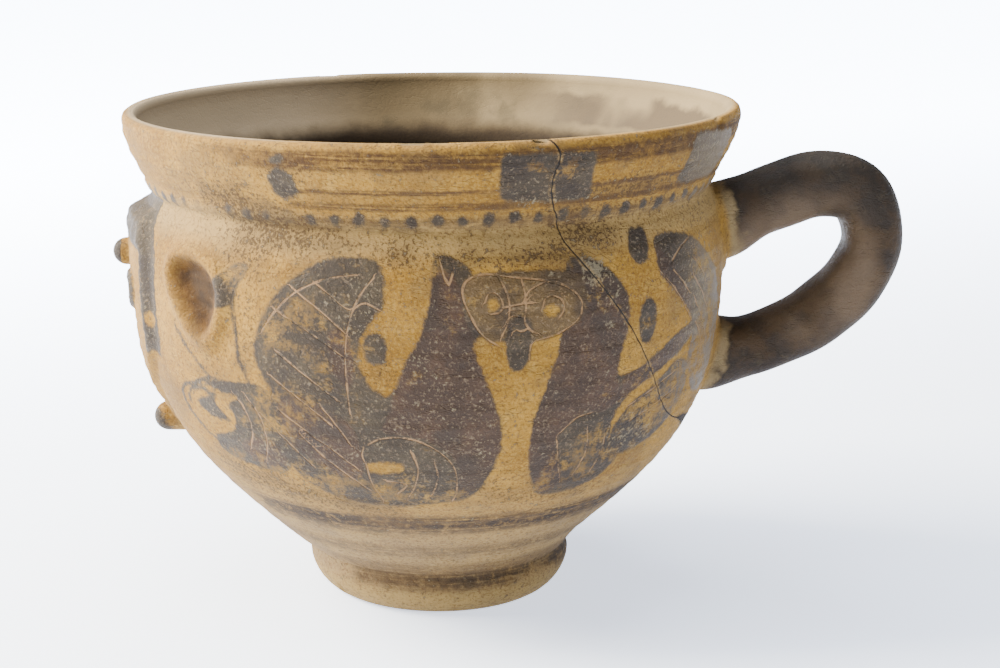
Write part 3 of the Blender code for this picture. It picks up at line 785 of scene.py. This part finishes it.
# Lime dust, and pale flecks that are a painted sheen: turn, height, half sizes in mm, and how dense.
DUST_AND_SHEEN = [
    (29.5, 67.8, 2.2, 2.6, 0.85), (33, 63, 1.8, 3.0, 0.4), (20, 79, 10.0, 0.8, 0.4),
    (-3, 55, 3.0, 5.0, 0.2), (2, 46, 5.0, 5.0, 0.12), (-12, 62, 6.0, 6.0, 0.2),
    (32.5, 58.5, 1.2, 1.2, 0.4), (9, 38, 1.2, 1.6, 0.4), (44, 38, 9.0, 4.0, 0.4), (62, 60, 9.0, 10.0, 0.5),
    (-32, 36, 8.0, 6.0, 0.2), (59, 83, 8.0, 5.0, 0.3)
]
# Places where the clay is stained and pitted brown, and places where the wheel bands have worn away.
STAINED = [
    (-40, 79, 9.0, 2.6, 0.9), (-31, 76, 12.0, 2.2, 0.9), (-24, 72.6, 14.0, 2.2, 0.8),
    (-35, 69, 6.0, 5.0, 0.7), (-5, 70.6, 4.0, 2.4, 0.8), (17, 70.4, 9.0, 1.8, 0.8), (6, 70, 3.0, 3.0, 0.5),
    (-9, 52.6, 3.0, 2.6, 0.6), (30, 72.6, 7.0, 2.6, 0.8), (-25, 85, 5.0, 2.4, 0.9),
    (38, 80, 12.0, 2.0, 0.9), (-34, 57, 3.0, 7.0, 0.4), (24, 76, 5.0, 3.0, 0.8),
    (46, 76.4, 12.0, 1.6, 0.5), (-18, 27.5, 14.0, 2.4, 0.7), (30, 29, 12.0, 3.0, 0.5),
    (14, 31, 6.0, 4.0, 0.4), (-40, 30, 13.0, 4.0, 0.8), (60, 71, 8.0, 4.0, 0.4), (-45, 52, 4.0, 4.0, 0.35)
]
FADED = [
    (-62, 84, 26.0, 8.0, 1.0), (-52, 75.4, 20.0, 3.0, 0.7), (-30, 79, 4.0, 3.0, 0.6),
    (-75, 72, 14.0, 10.0, 0.9), (-64, 8, 22.0, 6.0, 0.9), (48, 5, 14.0, 3.5, 0.8),
    (-58, 22, 16.0, 4.0, 0.6)
]


def deepest(places, outlines, reach=4.0):
    """The largest signed distance over several smooth closed outlines: their union."""
    found = np.full(len(places), -reach)
    for outline in outlines:
        found = np.maximum(found, near(places, drawn(outline, closed=True), reach))
    return found


def nearest(places, lines, reach=4.0):
    """The signed distance of least size over several smooth open lines."""
    found = np.full(len(places), reach)
    for line in lines:
        other = near_line(places, drawn(line), reach)
        found = np.where(np.abs(other) < np.abs(found), other, found)
    return found


def soft_spots(places, spots):
    """Sum of soft round spots, each strength * exp(-(x / wide)^2 - (z / tall)^2)."""
    total = np.zeros(len(places))
    for turn, height, wide, tall, strength in spots:
        away = places - (turn * ARC, height)
        total += strength * np.exp(-(away[:, 0] / wide) ** 2 - (away[:, 1] / tall) ** 2)
    return total


def figure_slip(places):
    """Millimetres inside the dark figures: outlines less the channels, and small shapes and strokes."""
    slip = deepest(places, FIGURES)
    slip = np.minimum(slip, -deepest(places, CHANNELS))
    slip = np.maximum(slip, deepest(places, SMALL_SHAPES))
    slip = np.maximum(slip, BRUSH_HALF_WIDTH - np.abs(nearest(places, BRUSHED)))
    for at, up, wide, tall in PUPILS:
        slip = np.minimum(slip, -near(places, oval(at, up, wide, tall)))
    return slip


def dot_row(turn, height):
    """Millimetres inside the nearest dot of the row, with sines of its number for the hand's unevenness."""
    number = np.round((turn - DOT_TURN) / DOT_STEP)
    from_dot = height - DOT_HEIGHT - 0.2 * np.sin(2.1 * number)
    away = np.hypot((turn - DOT_TURN - DOT_STEP * number) * ARC, from_dot / 1.1)
    return DOT_RADIUS + 0.14 * np.sin(2.4 * number) - away


def mask_slip(places, inset, down):
    """Millimetres inside the slip on the mask: brow, two lines round each eye and the edge strip."""
    brow = np.minimum(inset + 0.4, BROW_HEIGHT - 1.2 - down)
    eyes = np.maximum(near(places, EYES[0]), near(places, EYES[1]))
    slip = np.maximum(brow, EYE_LINE - np.abs(eyes + 0.2))
    slip = np.maximum(slip, EYE_RING - np.abs(eyes - EYE_RING_PLACE))
    strip = np.minimum(STRIP_HALF_WIDTH - np.abs(inset + 0.2), STRIP_LENGTH - down)
    spots = np.hypot(inset, (down - 1.0) % SPOT_STEP - SPOT_STEP / 2)
    return np.maximum(slip, np.minimum(strip, spots - np.where(down > SPOTS_FROM, SPOT_RADIUS, 0.0)))


def painted_fields(points):
    """Where the painter's work lies, for every vertex, as a dictionary of fields.

    slip, purple, brown, blot, ear, gape: mm inside the dark figures, the purple and brown parts, the grey
    blots, the ears' hollows and the gap at the crack's end. line, line_two, line_three, crack: mm to the
    scratches of each group and to the crack, with a sign; close, close_two, close_three, close_crack: the
    same without it, which blanks false zeros between two lines. out: mm beyond the turned wall.
    rubbed, dust_and_sheen, stain, faded: 0 to 1 and more where slip is worn, where lime dust lies and
    where a sheen is painted as pale flecks, where clay is dark or where bands are gone. height: mm up the
    turned form. inside, grip, palm, front: 0 to 1 for the inside, the handle, the inner face of its loop,
    and the half of the cup that faces the camera.
    """
    true = unsettle(points)
    turn = np.degrees(np.arctan2(true[:, 0], -true[:, 1]))
    height = true[:, 2]
    radius = np.hypot(true[:, 0], true[:, 1])
    beyond = radius - outer_radius(height)
    grip = smooth_step((beyond - 0.3) / 1.2) * (np.abs(turn - 90) < 25) * (radius > 30)
    inside = smooth_step((-beyond - 0.9) / 1.4) * (height > FOOT_HEIGHT + 0.3)
    front = smooth_step((92 - np.abs(turn)) / 4)
    here = np.column_stack([turn * ARC, height])
    folded = np.where(turn > 90, 180 - turn, np.where(turn < -90, -180 - turn, turn))
    both = np.column_stack([folded * ARC, height])

    slip = np.maximum(figure_slip(both), dot_row(turn, height))
    ears = np.maximum(near(here, EARS[0]), near(here, EARS[1]))
    across, down = here[:, 0] - MASK_MIDDLE, MASK_TOP - height
    inset = shield_inset(across, down)
    slip = np.where(inset > -3.2, mask_slip(here, inset, down), slip)
    loop = handle_line().mean(axis=0)
    from_loop = np.hypot(true[:, 0] - loop[0], true[:, 2] - loop[1])
    palm = smooth_step(1 - (from_loop - PALM_RADIUS) / PALM_FADE)
    studs = (np.abs(turn + 90) < 6) & (beyond > MASK_RELIEF + BROW_RELIEF + NOSE_RELIEF + 0.2)
    slip = np.where(studs, np.where(height > 50, 1.0, 0.6 * (beyond - 4.2)), slip)

    line, line_two, line_three = (nearest(both, group) for group in SCRATCHES)
    line_two, line_three = (np.where(front > 0.5, other, 4.0) for other in (line_two, line_three))
    rubbed = np.where(front > 0.5, soft_spots(here, RUBBED), 0.2)
    crack = near_line(here, CRACK)
    return {
        "slip": slip, "purple": deepest(both, PURPLE), "brown": deepest(both, BROWN), "ear": ears,
        "blot": deepest(here, BLOTS), "gape": deepest(here, [GAPE]), "line": line, "line_two": line_two,
        "line_three": line_three, "close": np.abs(line), "close_two": np.abs(line_two),
        "close_three": np.abs(line_three), "crack": crack, "close_crack": np.abs(crack), "out": beyond,
        "rubbed": rubbed, "dust_and_sheen": soft_spots(here, DUST_AND_SHEEN), "stain": soft_spots(here, STAINED),
        "faded": soft_spots(here, FADED), "height": height, "inside": inside, "grip": grip,
        "palm": palm * grip, "front": front,
    }


def linear(code):
    """A colour written as six hex digits of sRGB, as the linear colour that a shader takes."""
    shares = [int(code[i:i + 2], 16) / 255 for i in (0, 2, 4)]
    return [s / 12.92 if s <= 0.04045 else ((s + 0.055) / 1.055) ** 2.4 for s in shares] + [1.0]


def per(size):
    """Noise scale for a pattern of that size in mm, over coordinates in metres."""
    return 1 / (size * MM)


# What each word puts into a material: Blender's kind of node, the inputs in the order that they are
# given, the output that is used, and the settings.
NODES = {
    "times": ("Math", (0, 1), 0, {"operation": "MULTIPLY"}),
    "plus": ("Math", (0, 1), 0, {"operation": "ADD"}),
    "minus": ("Math", (0, 1), 0, {"operation": "SUBTRACT"}),
    "times plus": ("Math", (0, 1, 2), 0, {"operation": "MULTIPLY_ADD"}),
    "larger": ("Math", (0, 1), 0, {"operation": "MAXIMUM"}),
    "unsigned": ("Math", (0,), 0, {"operation": "ABSOLUTE"}),
    "step": ("MapRange", (0, 1, 2, 3, 4), 0, {"interpolation_type": "SMOOTHSTEP"}),
    "over": ("Mix", (6, 7, 0), 2, {"data_type": "RGBA"}),
    "between": ("Mix", (2, 3, 0), 0, {"data_type": "FLOAT"}),
    "place": ("TexCoord", (), "Object", {}),
    "stretched": ("Mapping", ("Vector", "Scale"), 0, {}),
    "along x": ("SeparateXYZ", (0,), "X", {}),
    "field": ("Attribute", (), "Fac", {}),
    "noise": ("TexNoise", ("Vector", "Scale", "Detail", "Roughness"), 0, {}),
    "cell edges": ("TexVoronoi", ("Vector", "Scale"), 0, {"feature": "DISTANCE_TO_EDGE"}),
    "ramp": ("ValToRGB", (0,), "Color", {}),
    "red": ("SeparateColor", (0,), "Red", {}),
    "tone": ("HueSaturation", ("Color", "Saturation", "Value"), 0, {}),
    "bump": ("Bump", ("Height", "Distance", "Strength"), 0, {}),
}


def add(tree, word, *values, **more):
    """Adds the node that a word of NODES stands for, gives it its values, and returns its output.

    A value is a socket to link, a number, a vector, or a colour as six hex digits.
    """
    kind, inputs, output, settings = NODES[word]
    node = tree.nodes.new("ShaderNode" + kind)
    for name, value in {**settings, **more}.items():
        setattr(node, name, value)
    for key, value in zip(inputs, values):
        if isinstance(value, bpy.types.NodeSocket):
            tree.links.new(value, node.inputs[key])
        else:
            node.inputs[key].default_value = linear(value) if isinstance(value, str) else value
    return node.outputs[output]


# Bands brushed on while the wheel turned: height in mm, and how dense the brown wash and the slip are.
BANDS = [
    (0, 0.0, 0.0), (4.6, 0.05, 0.0), (5.8, 0.5, 0.3), (7.0, 0.7, 0.8), (8.2, 0.7, 0.6), (9.2, 0.5, 0.2),
    (11.2, 0.45, 0.1), (12.2, 0.0, 0.0), (13.4, 0.05, 0.0), (15.0, 0.3, 0.5), (16.6, 0.3, 0.3),
    (17.6, 0.1, 0.0), (19.8, 0.1, 0.0), (20.8, 0.4, 0.6), (22.2, 0.8, 1.0), (24.2, 0.8, 1.0),
    (25.0, 0.4, 0.3), (25.7, 0.15, 0.0), (30.0, 0.2, 0.0), (74.1, 0.0, 0.0), (74.8, 0.6, 0.2),
    (76.3, 0.75, 0.4), (77.0, 0.2, 0.0), (77.7, 0.2, 0.0), (78.1, 0.9, 0.2), (79.0, 0.9, 0.2),
    (79.4, 0.3, 0.0), (80.5, 0.3, 0.0), (80.8, 1.0, 0.3), (81.3, 0.9, 0.2), (81.6, 0.05, 0.0),
    (83.6, 0.1, 0.0)
]
# The widest band, on the lip: heights in mm where it begins, is full, is full no more and ends.
LIP_BAND = (83.8, 85.0, 87.0, 88.2)


def painted_clay(field_names):
    """Wheel-turned buff earthenware, painted with slip that fired dark brown, purple and dilute brown.

    The clay is matt, mottled, crazed and pitted, with painted light low down and under the lip. Over it
    go, in order: wheel bands, what is left under worn slip, the slip with its purple and brown parts and a
    painted sheen, the dark ear hollows, scratched lines, the handle's slip with painted sheen and painted
    shade, the inside with painted light and painted shade, pale lime dust with painted sheen, and the crack
    with a painted highlight. Last the whole is darkened with painted shade. Slip is a little smoother than
    clay.
    """
    material = bpy.data.materials.new("painted earthenware")
    material.use_nodes = True
    tree = material.node_tree
    put = partial(add, tree)
    shader = tree.nodes["Principled BSDF"]
    place = put("place")
    wheel = put("stretched", place, (1.0, 1.0, 40.0))
    long = put("stretched", place, (0.6, 0.6, 1.5))
    at = {name: put("field", attribute_name=name) for name in field_names}

    def off(value, part):
        """A noise's swing round its middle of a half, times part."""
        return put("times", put("minus", value, 0.5), part)

    def blend(first, part, second):
        """Two noises added, the first by its part and the second by the rest."""
        return put("plus", put("times", first, part), put("times", second, 1 - part))

    def layered(base, *layers):
        """Colours laid over a base in their order, each as its colour, where it lies and how densely."""
        for colour, where, dense in layers:
            base = put("over", base, colour, put("times", where, dense))
        return base

    # Patterns by their size in mm. The real grain is finer, and is drawn as coarse as it needs to show.
    broad = put("noise", place, per(22), 3, 0.55)
    cloud = put("noise", place, per(9.0), 4, 0.55)
    middle = put("noise", place, per(5.0), 5, 0.55)
    patch = put("noise", place, per(3.0), 4, 0.6)
    fleck = put("noise", place, per(1.2), 6, 0.72)
    grit = put("noise", place, per(0.5), 3, 0.6)
    grain = put("noise", place, per(0.28), 2, 0.55)
    streak = put("noise", wheel, per(24.0), 5, 0.65)
    crazed = put("cell edges", long, per(1.5))
    craze = put("times", put("minus", 1.0, put("step", crazed, 0.0, 0.09)), put("step", patch, 0.42, 0.6))
    outside = put("times", put("minus", 1.0, at["inside"]), put("minus", 1.0, at["grip"]))

    # The clay: mottled by the fire, paler on the foot, and pitted. Greyer low down and paler under the lip
    # are painted light: the pale floor's cool light, and light that lifts the shade under the lip.
    shoulder = put("times", put("step", at["height"], 68.0, 73.0), put("step", at["height"], 78.0, 75.0))
    stained = put("plus", put("times", middle, 0.3), put("times", at["stain"], 0.35))
    pits = put("step", put("plus", blend(grit, 0.55, fleck), put("times", at["stain"], 0.12)), 0.57, 0.65)
    clay = layered(
        "8a6426",
        ("a67d37", put("step", broad, 0.38, 0.62), 1.0),
        ("755320", put("step", middle, 0.5, 0.72), 0.5),
        ("b6924d", put("step", patch, 0.5, 0.68), 0.35),
        ("be9c58", put("step", grit, 0.5, 0.36), 0.3),
        ("765c36", put("step", cloud, 0.5, 0.66), 0.5),
        # Greyer low down: painted light, the cool light cast up by the pale floor.
        ("857a66", put("step", at["height"], 36.0, 16.0), 0.45),
        # Paler under the lip: painted light that lifts the shade beneath the lip's overhang.
        ("ad9160", shoulder, 0.65),
        ("a4874f", put("step", at["height"], 6.5, 4.0), 0.6),
        ("5a3d1a", craze, 0.35),
        ("5e421f", put("step", grit, 0.53, 0.66), 0.6),
        ("422c14", put("step", fleck, 0.6, 0.67), 0.8),
        ("66502f", put("times", put("step", stained, 0.22, 0.48), outside), 0.55),
        ("3f2c17", put("times", pits, outside), 0.75),
    )

    # Bands from the wheel, streaked and worn; their heights wander with the patches.
    wander = off(patch, 1.0)
    ramp = put("ramp", put("times", put("plus", at["height"], wander), 1 / 90.0)).node
    ramp.color_ramp.elements.remove(ramp.color_ramp.elements[1])
    for index, (height, brown, dark) in enumerate(BANDS):
        stop = ramp.color_ramp.elements[0] if index == 0 else ramp.color_ramp.elements.new(height / 90.0)
        stop.position = height / 90.0
        stop.color = (brown, dark, 0.0, 1.0)
    bands = put("red", ramp.outputs[0])
    from_lip = put("plus", at["height"], put("times", wander, 1.4))
    wide_band = put("times",
        put("step", from_lip, *LIP_BAND[:2]), put("step", from_lip, *LIP_BAND[:1:-1]))
    faded = put("plus", at["faded"], off(middle, 1.5))
    plain = put("minus", 1.0, put("step", faded, 0.1, 0.7))
    worn = put("step", blend(fleck, 0.5, middle), 0.38, 0.54)
    brushed = put("step", blend(streak, 0.75, fleck), 0.34, 0.5)
    band = put("times",
        put("times", put("larger", bands, wide_band), put("plus", put("times", brushed, 0.75), 0.25)),
        plain)
    band = put("times", band, put("plus", put("times", worn, 0.4), 0.6))
    colour = put("over", clay, "432c16", put("times", put("times", band, outside), 0.95))
    smear = put("step", blend(blend(patch, 0.5, broad), 0.6, streak), 0.4, 0.56)
    smear = put("times", bands.node.outputs["Green"], smear)
    colour = put("over",
        colour, "352a21",
        put("times", put("times", put("times", smear, plain), outside), put("step", fleck, 0.34, 0.52)))

    # The painter's slip: its uneven edge, where it is worn off, and its three colours.
    ragged = put("plus", off(fleck, 1.5), off(patch, 0.9))
    speckle = blend(blend(fleck, 0.65, grit), 0.55, blend(patch, 0.5, middle))
    kept = put("minus",
        1.0, put("step", put("plus", speckle, put("times", at["rubbed"], 0.24)), 0.55, 0.66))
    ground = put("times", put("step", put("plus", at["slip"], ragged), -0.3, 0.4), outside)
    blotted = put("times",
        put("times", put("step", put("plus", at["blot"], ragged), -0.3, 0.5), outside),
        at["front"])
    figure = put("larger", ground, blotted)
    dark = layered(
        "2a2116",
        ("3b3122", put("step", middle, 0.42, 0.62), 1.0),
        ("241b13", put("step", fleck, 0.46, 0.36), 0.6),
    )
    purple = layered(
        "311e13",
        ("422c1e", put("step", middle, 0.4, 0.62), 1.0),
        ("2b1d18", put("step", fleck, 0.5, 0.38), 0.6),
    )
    browned = put("step", put("plus", at["brown"], ragged), -0.3, 0.5)
    across = put("along x", place)
    shaded = put("times", put("step", cloud, 0.48, 0.62), put("step", across, 42 * MM, 33 * MM))
    slip = layered(
        dark,
        (purple, put("step", put("plus", at["purple"], ragged), -0.3, 0.5), 0.92),
        ("5a4526", browned, 0.9),
        ("8a6c3d", put("times", browned, put("step", blend(grit, 0.6, fleck), 0.5, 0.6)), 0.7),
        ("6e5a45", put("step", grit, 0.53, 0.64), 0.5),
        ("7a6853", put("step", blend(patch, 0.4, grit), 0.55, 0.63), 0.3),
        # Paler slip towards the handle's side: a painted sheen.
        ("88765e", put("step", across, 36 * MM, 48 * MM), 0.5),
        ("241a14", shaded, 0.6),
    )
    remains = put("over", "7c6340", "3b2d1f", put("step", blend(grit, 0.5, fleck), 0.5, 0.6))
    colour = put("over",
        colour, remains,
        put("times", figure, put("plus", put("times", put("step", patch, 0.6, 0.4), 0.55), 0.15)))
    colour = put("over", colour, slip, put("times", put("times", figure, kept), 0.95))

    # The ears' dark hollows.
    ear = put("step", put("plus", at["ear"], ragged), -1.6, 1.8)
    hollow = put("over", "311b06", "5c3c12", put("step", blend(patch, 0.6, fleck), 0.4, 0.6))
    colour = put("over", colour, hollow, put("times", ear, 0.92))

    # Lines scratched through the slip, thin and broken.
    uneven = put("plus", off(patch, 0.5), off(fleck, 0.35))
    scratch = 0.0
    for line, close in (("line", "close"), ("line_two", "close_two"), ("line_three", "close_three")):
        width = put("plus", put("unsigned", at[line]), uneven)
        scratch = put("larger",
            put("times",
                put("minus", 1.0, put("step", width, 0.08, 0.22)),
                put("minus", 1.0, put("step", at[close], 0.7, 0.9))),
            scratch)
    scratch = put("times", scratch, put("times", put("step", at["slip"], -1.0, -0.2), outside))
    scratch = put("times", scratch, put("plus", put("times", kept, 0.6), 0.4))
    colour = put("over",
        colour, "a07b54",
        put("times", scratch, put("times", 0.85, put("step", blend(fleck, 0.6, middle), 0.42, 0.52))))

    # The handle, covered with dark slip that fades out round its roots.
    reach = put("plus", at["out"], off(middle, 9.0))
    handle_slip = put("times", at["grip"], put("step", reach, 1.4, 3.6))
    grip_tone = layered(
        "281b0d",
        ("3f2c14", put("step", middle, 0.4, 0.62), 1.0),
        # Grey-green flecks on the handle's slip: a painted sheen.
        ("4d412d", put("step", put("plus", fleck, patch), 1.04, 1.2), 0.35),
        ("75604a", put("times", at["palm"], put("step", broad, 0.34, 0.58)), 0.7),
        # Darker towards the top of the handle: painted shade against the light from above.
        ("17130e", put("step", at["height"], 64.0, 78.0), 0.55),
    )
    colour = put("over",
        colour, "8b7a5c",
        put("times", put("times", put("step", at["out"], 0.4, 2.0), at["grip"]), 0.8))
    colour = put("over", colour, grip_tone, handle_slip)

    # The inside: paler on both sides above a dark bottom, with a brown ring at the right. The paler left is
    # painted light, and the dark bottom is partly painted shade.
    deep = put("plus", off(middle, 3.0), at["height"])
    right_side = put("step", across, 14 * MM, 30 * MM)
    ring = put("times", put("step", deep, 79.0, 80.4), put("step", deep, 86.0, 84.4))
    lining = layered(
        "6e5f46",
        ("867558", put("step", broad, 0.42, 0.6), 1.0),
        ("584e3a", put("step", cloud, 0.5, 0.66), 0.6),
        # Paler on the left: painted light on a wall that lies in shade.
        ("c9b494", put("step", across, -10 * MM, -34 * MM), 0.85),
        ("ab9673", right_side, 0.6),
        ("4f4438", put("times", put("times", ring, right_side), put("step", broad, 0.36, 0.52)), 0.85),
        # The dark bottom: dark glaze, made darker with painted shade deep in the bowl.
        ("20160d", put("step", deep, 81.0, 76.5), 1.0),
    )
    colour = put("over", colour, lining, put("times", at["inside"], 0.95))

    # Pale lime dust, with pale flecks that are a painted sheen; then the crack, its pale edge a painted
    # highlight.
    dust_and_sheen_flecks = put("step", put("plus", blend(fleck, 0.5, grit), put("times", at["dust_and_sheen"], 0.2)), 0.57, 0.67)
    colour = put("over", colour, "94876a", put("times", dust_and_sheen_flecks, put("times", outside, 0.55)))
    gap = put("plus", put("unsigned", at["crack"]), off(patch, 0.25))
    # The pale edge along the crack is a painted highlight.
    painted_highlight_edge = put("times",
        put("minus", 1.0, put("step", gap, 0.2, 0.7)),
        put("minus", 1.0, put("step", at["close_crack"], 0.9, 1.1)))
    colour = put("over",
        colour, "a98650",
        put("times",
            put("times", put("times", painted_highlight_edge, outside), put("step", fleck, 0.46, 0.54)),
            0.35))
    split = put("times",
        put("minus", 1.0, put("step", gap, 0.03, 0.14)),
        put("minus", 1.0, put("step", at["close_crack"], 0.7, 0.9)))
    cracked = put("larger", split, put("step", put("plus", at["gape"], ragged), -0.2, 0.3))
    colour = put("over",
        colour, "1e150e",
        put("times", put("times", cracked, 0.95), put("minus", 1.0, at["inside"])))
    # The whole is made a little darker and more saturated: painted shade over all of it, for a dimmer
    # light.
    colour = put("tone", colour, 1.04, 0.69)

    # Slip is a little smoother than clay, and stands a little proud of it.
    slipped = put("larger", put("times", figure, kept), handle_slip)
    rough = put("between", 0.86, 0.64, slipped)
    high = put("plus",
        put("times", grit, 0.6), put("plus", put("times", fleck, 1.1), put("times", middle, 1.6)))
    high = put("plus",
        high,
        put("plus", put("times", put("times", figure, kept), 0.25), put("times", grain, 0.25)))
    low = put("plus",
        put("plus", put("times", scratch, 0.9), put("times", craze, 0.3)),
        put("times", cracked, 4.0))
    high = put("minus", high, low)
    high = put("times", high, put("minus", 1.0, put("times", at["inside"], 0.8)))
    bump = put("bump", high, 0.24 * MM, 1.0)
    tree.links.new(colour, shader.inputs["Base Color"])
    tree.links.new(rough, shader.inputs["Roughness"])
    tree.links.new(bump, shader.inputs["Normal"])
    shader.inputs["Specular IOR Level"].default_value = 0.25
    return material


def painted_cup():
    """The whole cup as one mesh, with the painter's fields stored on its vertices."""
    muzzle_drop = MASK_LENGTH - MUZZLE_RADIUS / 2
    tools = [handle(), stud("brow_stud", MASK_TOP - BOSS_DROP, BOSS_RADIUS, BOSS_STANDOFF),
             stud("muzzle_stud", MASK_TOP - muzzle_drop, MUZZLE_RADIUS, MUZZLE_STANDOFF)]
    cup = turned_body()
    for thing in [cup] + tools:
        outward(thing)
    cup = joined(cup, tools)
    mesh = cup.data
    points = np.empty(len(mesh.vertices) * 3, dtype=np.float32)
    mesh.vertices.foreach_get("co", points)
    fields = painted_fields(points.reshape(-1, 3).astype(float) / MM)
    for name, values in fields.items():
        layer = mesh.attributes.new(name, "FLOAT", "POINT")
        layer.data.foreach_set("value", values.astype(np.float32))
    mesh.materials.clear()
    mesh.materials.append(painted_clay(fields))
    mesh.shade_smooth()
    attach(cup, "root")
    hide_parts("cup")
    return cup


def table_top():
    """A pale light table under the cup: matt, almost white, and glowing more towards its far side."""
    material = bpy.data.materials.new("pale matt board")
    material.use_nodes = True
    put = partial(add, material.node_tree)
    shader = material.node_tree.nodes["Principled BSDF"]
    shader.inputs["Base Color"].default_value = linear("e8effb")
    shader.inputs["Roughness"].default_value = 0.9
    x = put("along x", put("place"))
    slant = put("times plus", x, -0.45, x.node.outputs["Y"])
    glow = put("step", slant, 0.0, 0.65, 1.55, 13.0)
    shader.inputs["Emission Color"].default_value = linear("dfeaff")
    material.node_tree.links.new(glow, shader.inputs["Emission Strength"])
    mesh = bpy.data.meshes.new("table_top")
    far = 6.0
    mesh.from_pydata([(-far, -far, 0), (far, -far, 0), (far, far, 0), (-far, far, 0)], [], [(0, 1, 2, 3)])
    mesh.materials.append(material)
    floor = bpy.data.objects.new("table_top", mesh)
    bpy.context.scene.collection.objects.link(floor)


def lamp(name, place, target, size, power, tint):
    """A square area light at a place in metres, turned to its target."""
    light = bpy.data.lights.new(name, "AREA")
    light.size = size
    light.energy = power
    light.color = linear(tint)[:3]
    thing = bpy.data.objects.new(name, light)
    thing.location = place
    thing.rotation_euler = (Vector(target) - Vector(place)).to_track_quat("-Z", "Y").to_euler()
    bpy.context.scene.collection.objects.link(thing)


def studio():
    """Soft daylight: a pale sky all round, a broad window high on the left and a weak fill."""
    world = bpy.data.worlds.new("pale room")
    world.use_nodes = True
    sky = world.node_tree.nodes["Background"]
    sky.inputs["Color"].default_value = linear("f1f4fb")
    sky.inputs["Strength"].default_value = 0.45
    bpy.context.scene.world = world
    lamp("window", (-0.80, 0.05, 0.60), (0, 0, 0.04), 0.6, 67.0, "fff9ea")
    lamp("ceiling", (-0.10, 0.10, 1.10), (0, 0, 0.0), 0.9, 18.0, "f6f9ff")


def camera():
    """The photo's view: from in front, a little above the rim, turned slightly to the right and rolled."""
    yaw, pitch, roll = 0.0368, 0.2367, 0.0104
    ahead = Vector((math.sin(yaw) * math.cos(pitch), math.cos(yaw) * math.cos(pitch), -math.sin(pitch)))
    level = Vector((math.cos(yaw), -math.sin(yaw), 0.0))
    up = level.cross(ahead)
    right = level * math.cos(roll) + up * math.sin(roll)
    upward = up * math.cos(roll) - level * math.sin(roll)
    data = bpy.data.cameras.new("camera")
    data.sensor_width = 36.0
    data.lens = 68.4
    data.clip_start = 0.01
    thing = bpy.data.objects.new("camera", data)
    turn = Matrix((right, upward, -ahead)).transposed()
    thing.matrix_world = Matrix.Translation((-0.0015, -0.3388, 0.1281)) @ turn.to_4x4()
    bpy.context.scene.collection.objects.link(thing)
    bpy.context.scene.camera = thing


painted_cup()
table_top()
studio()
camera()
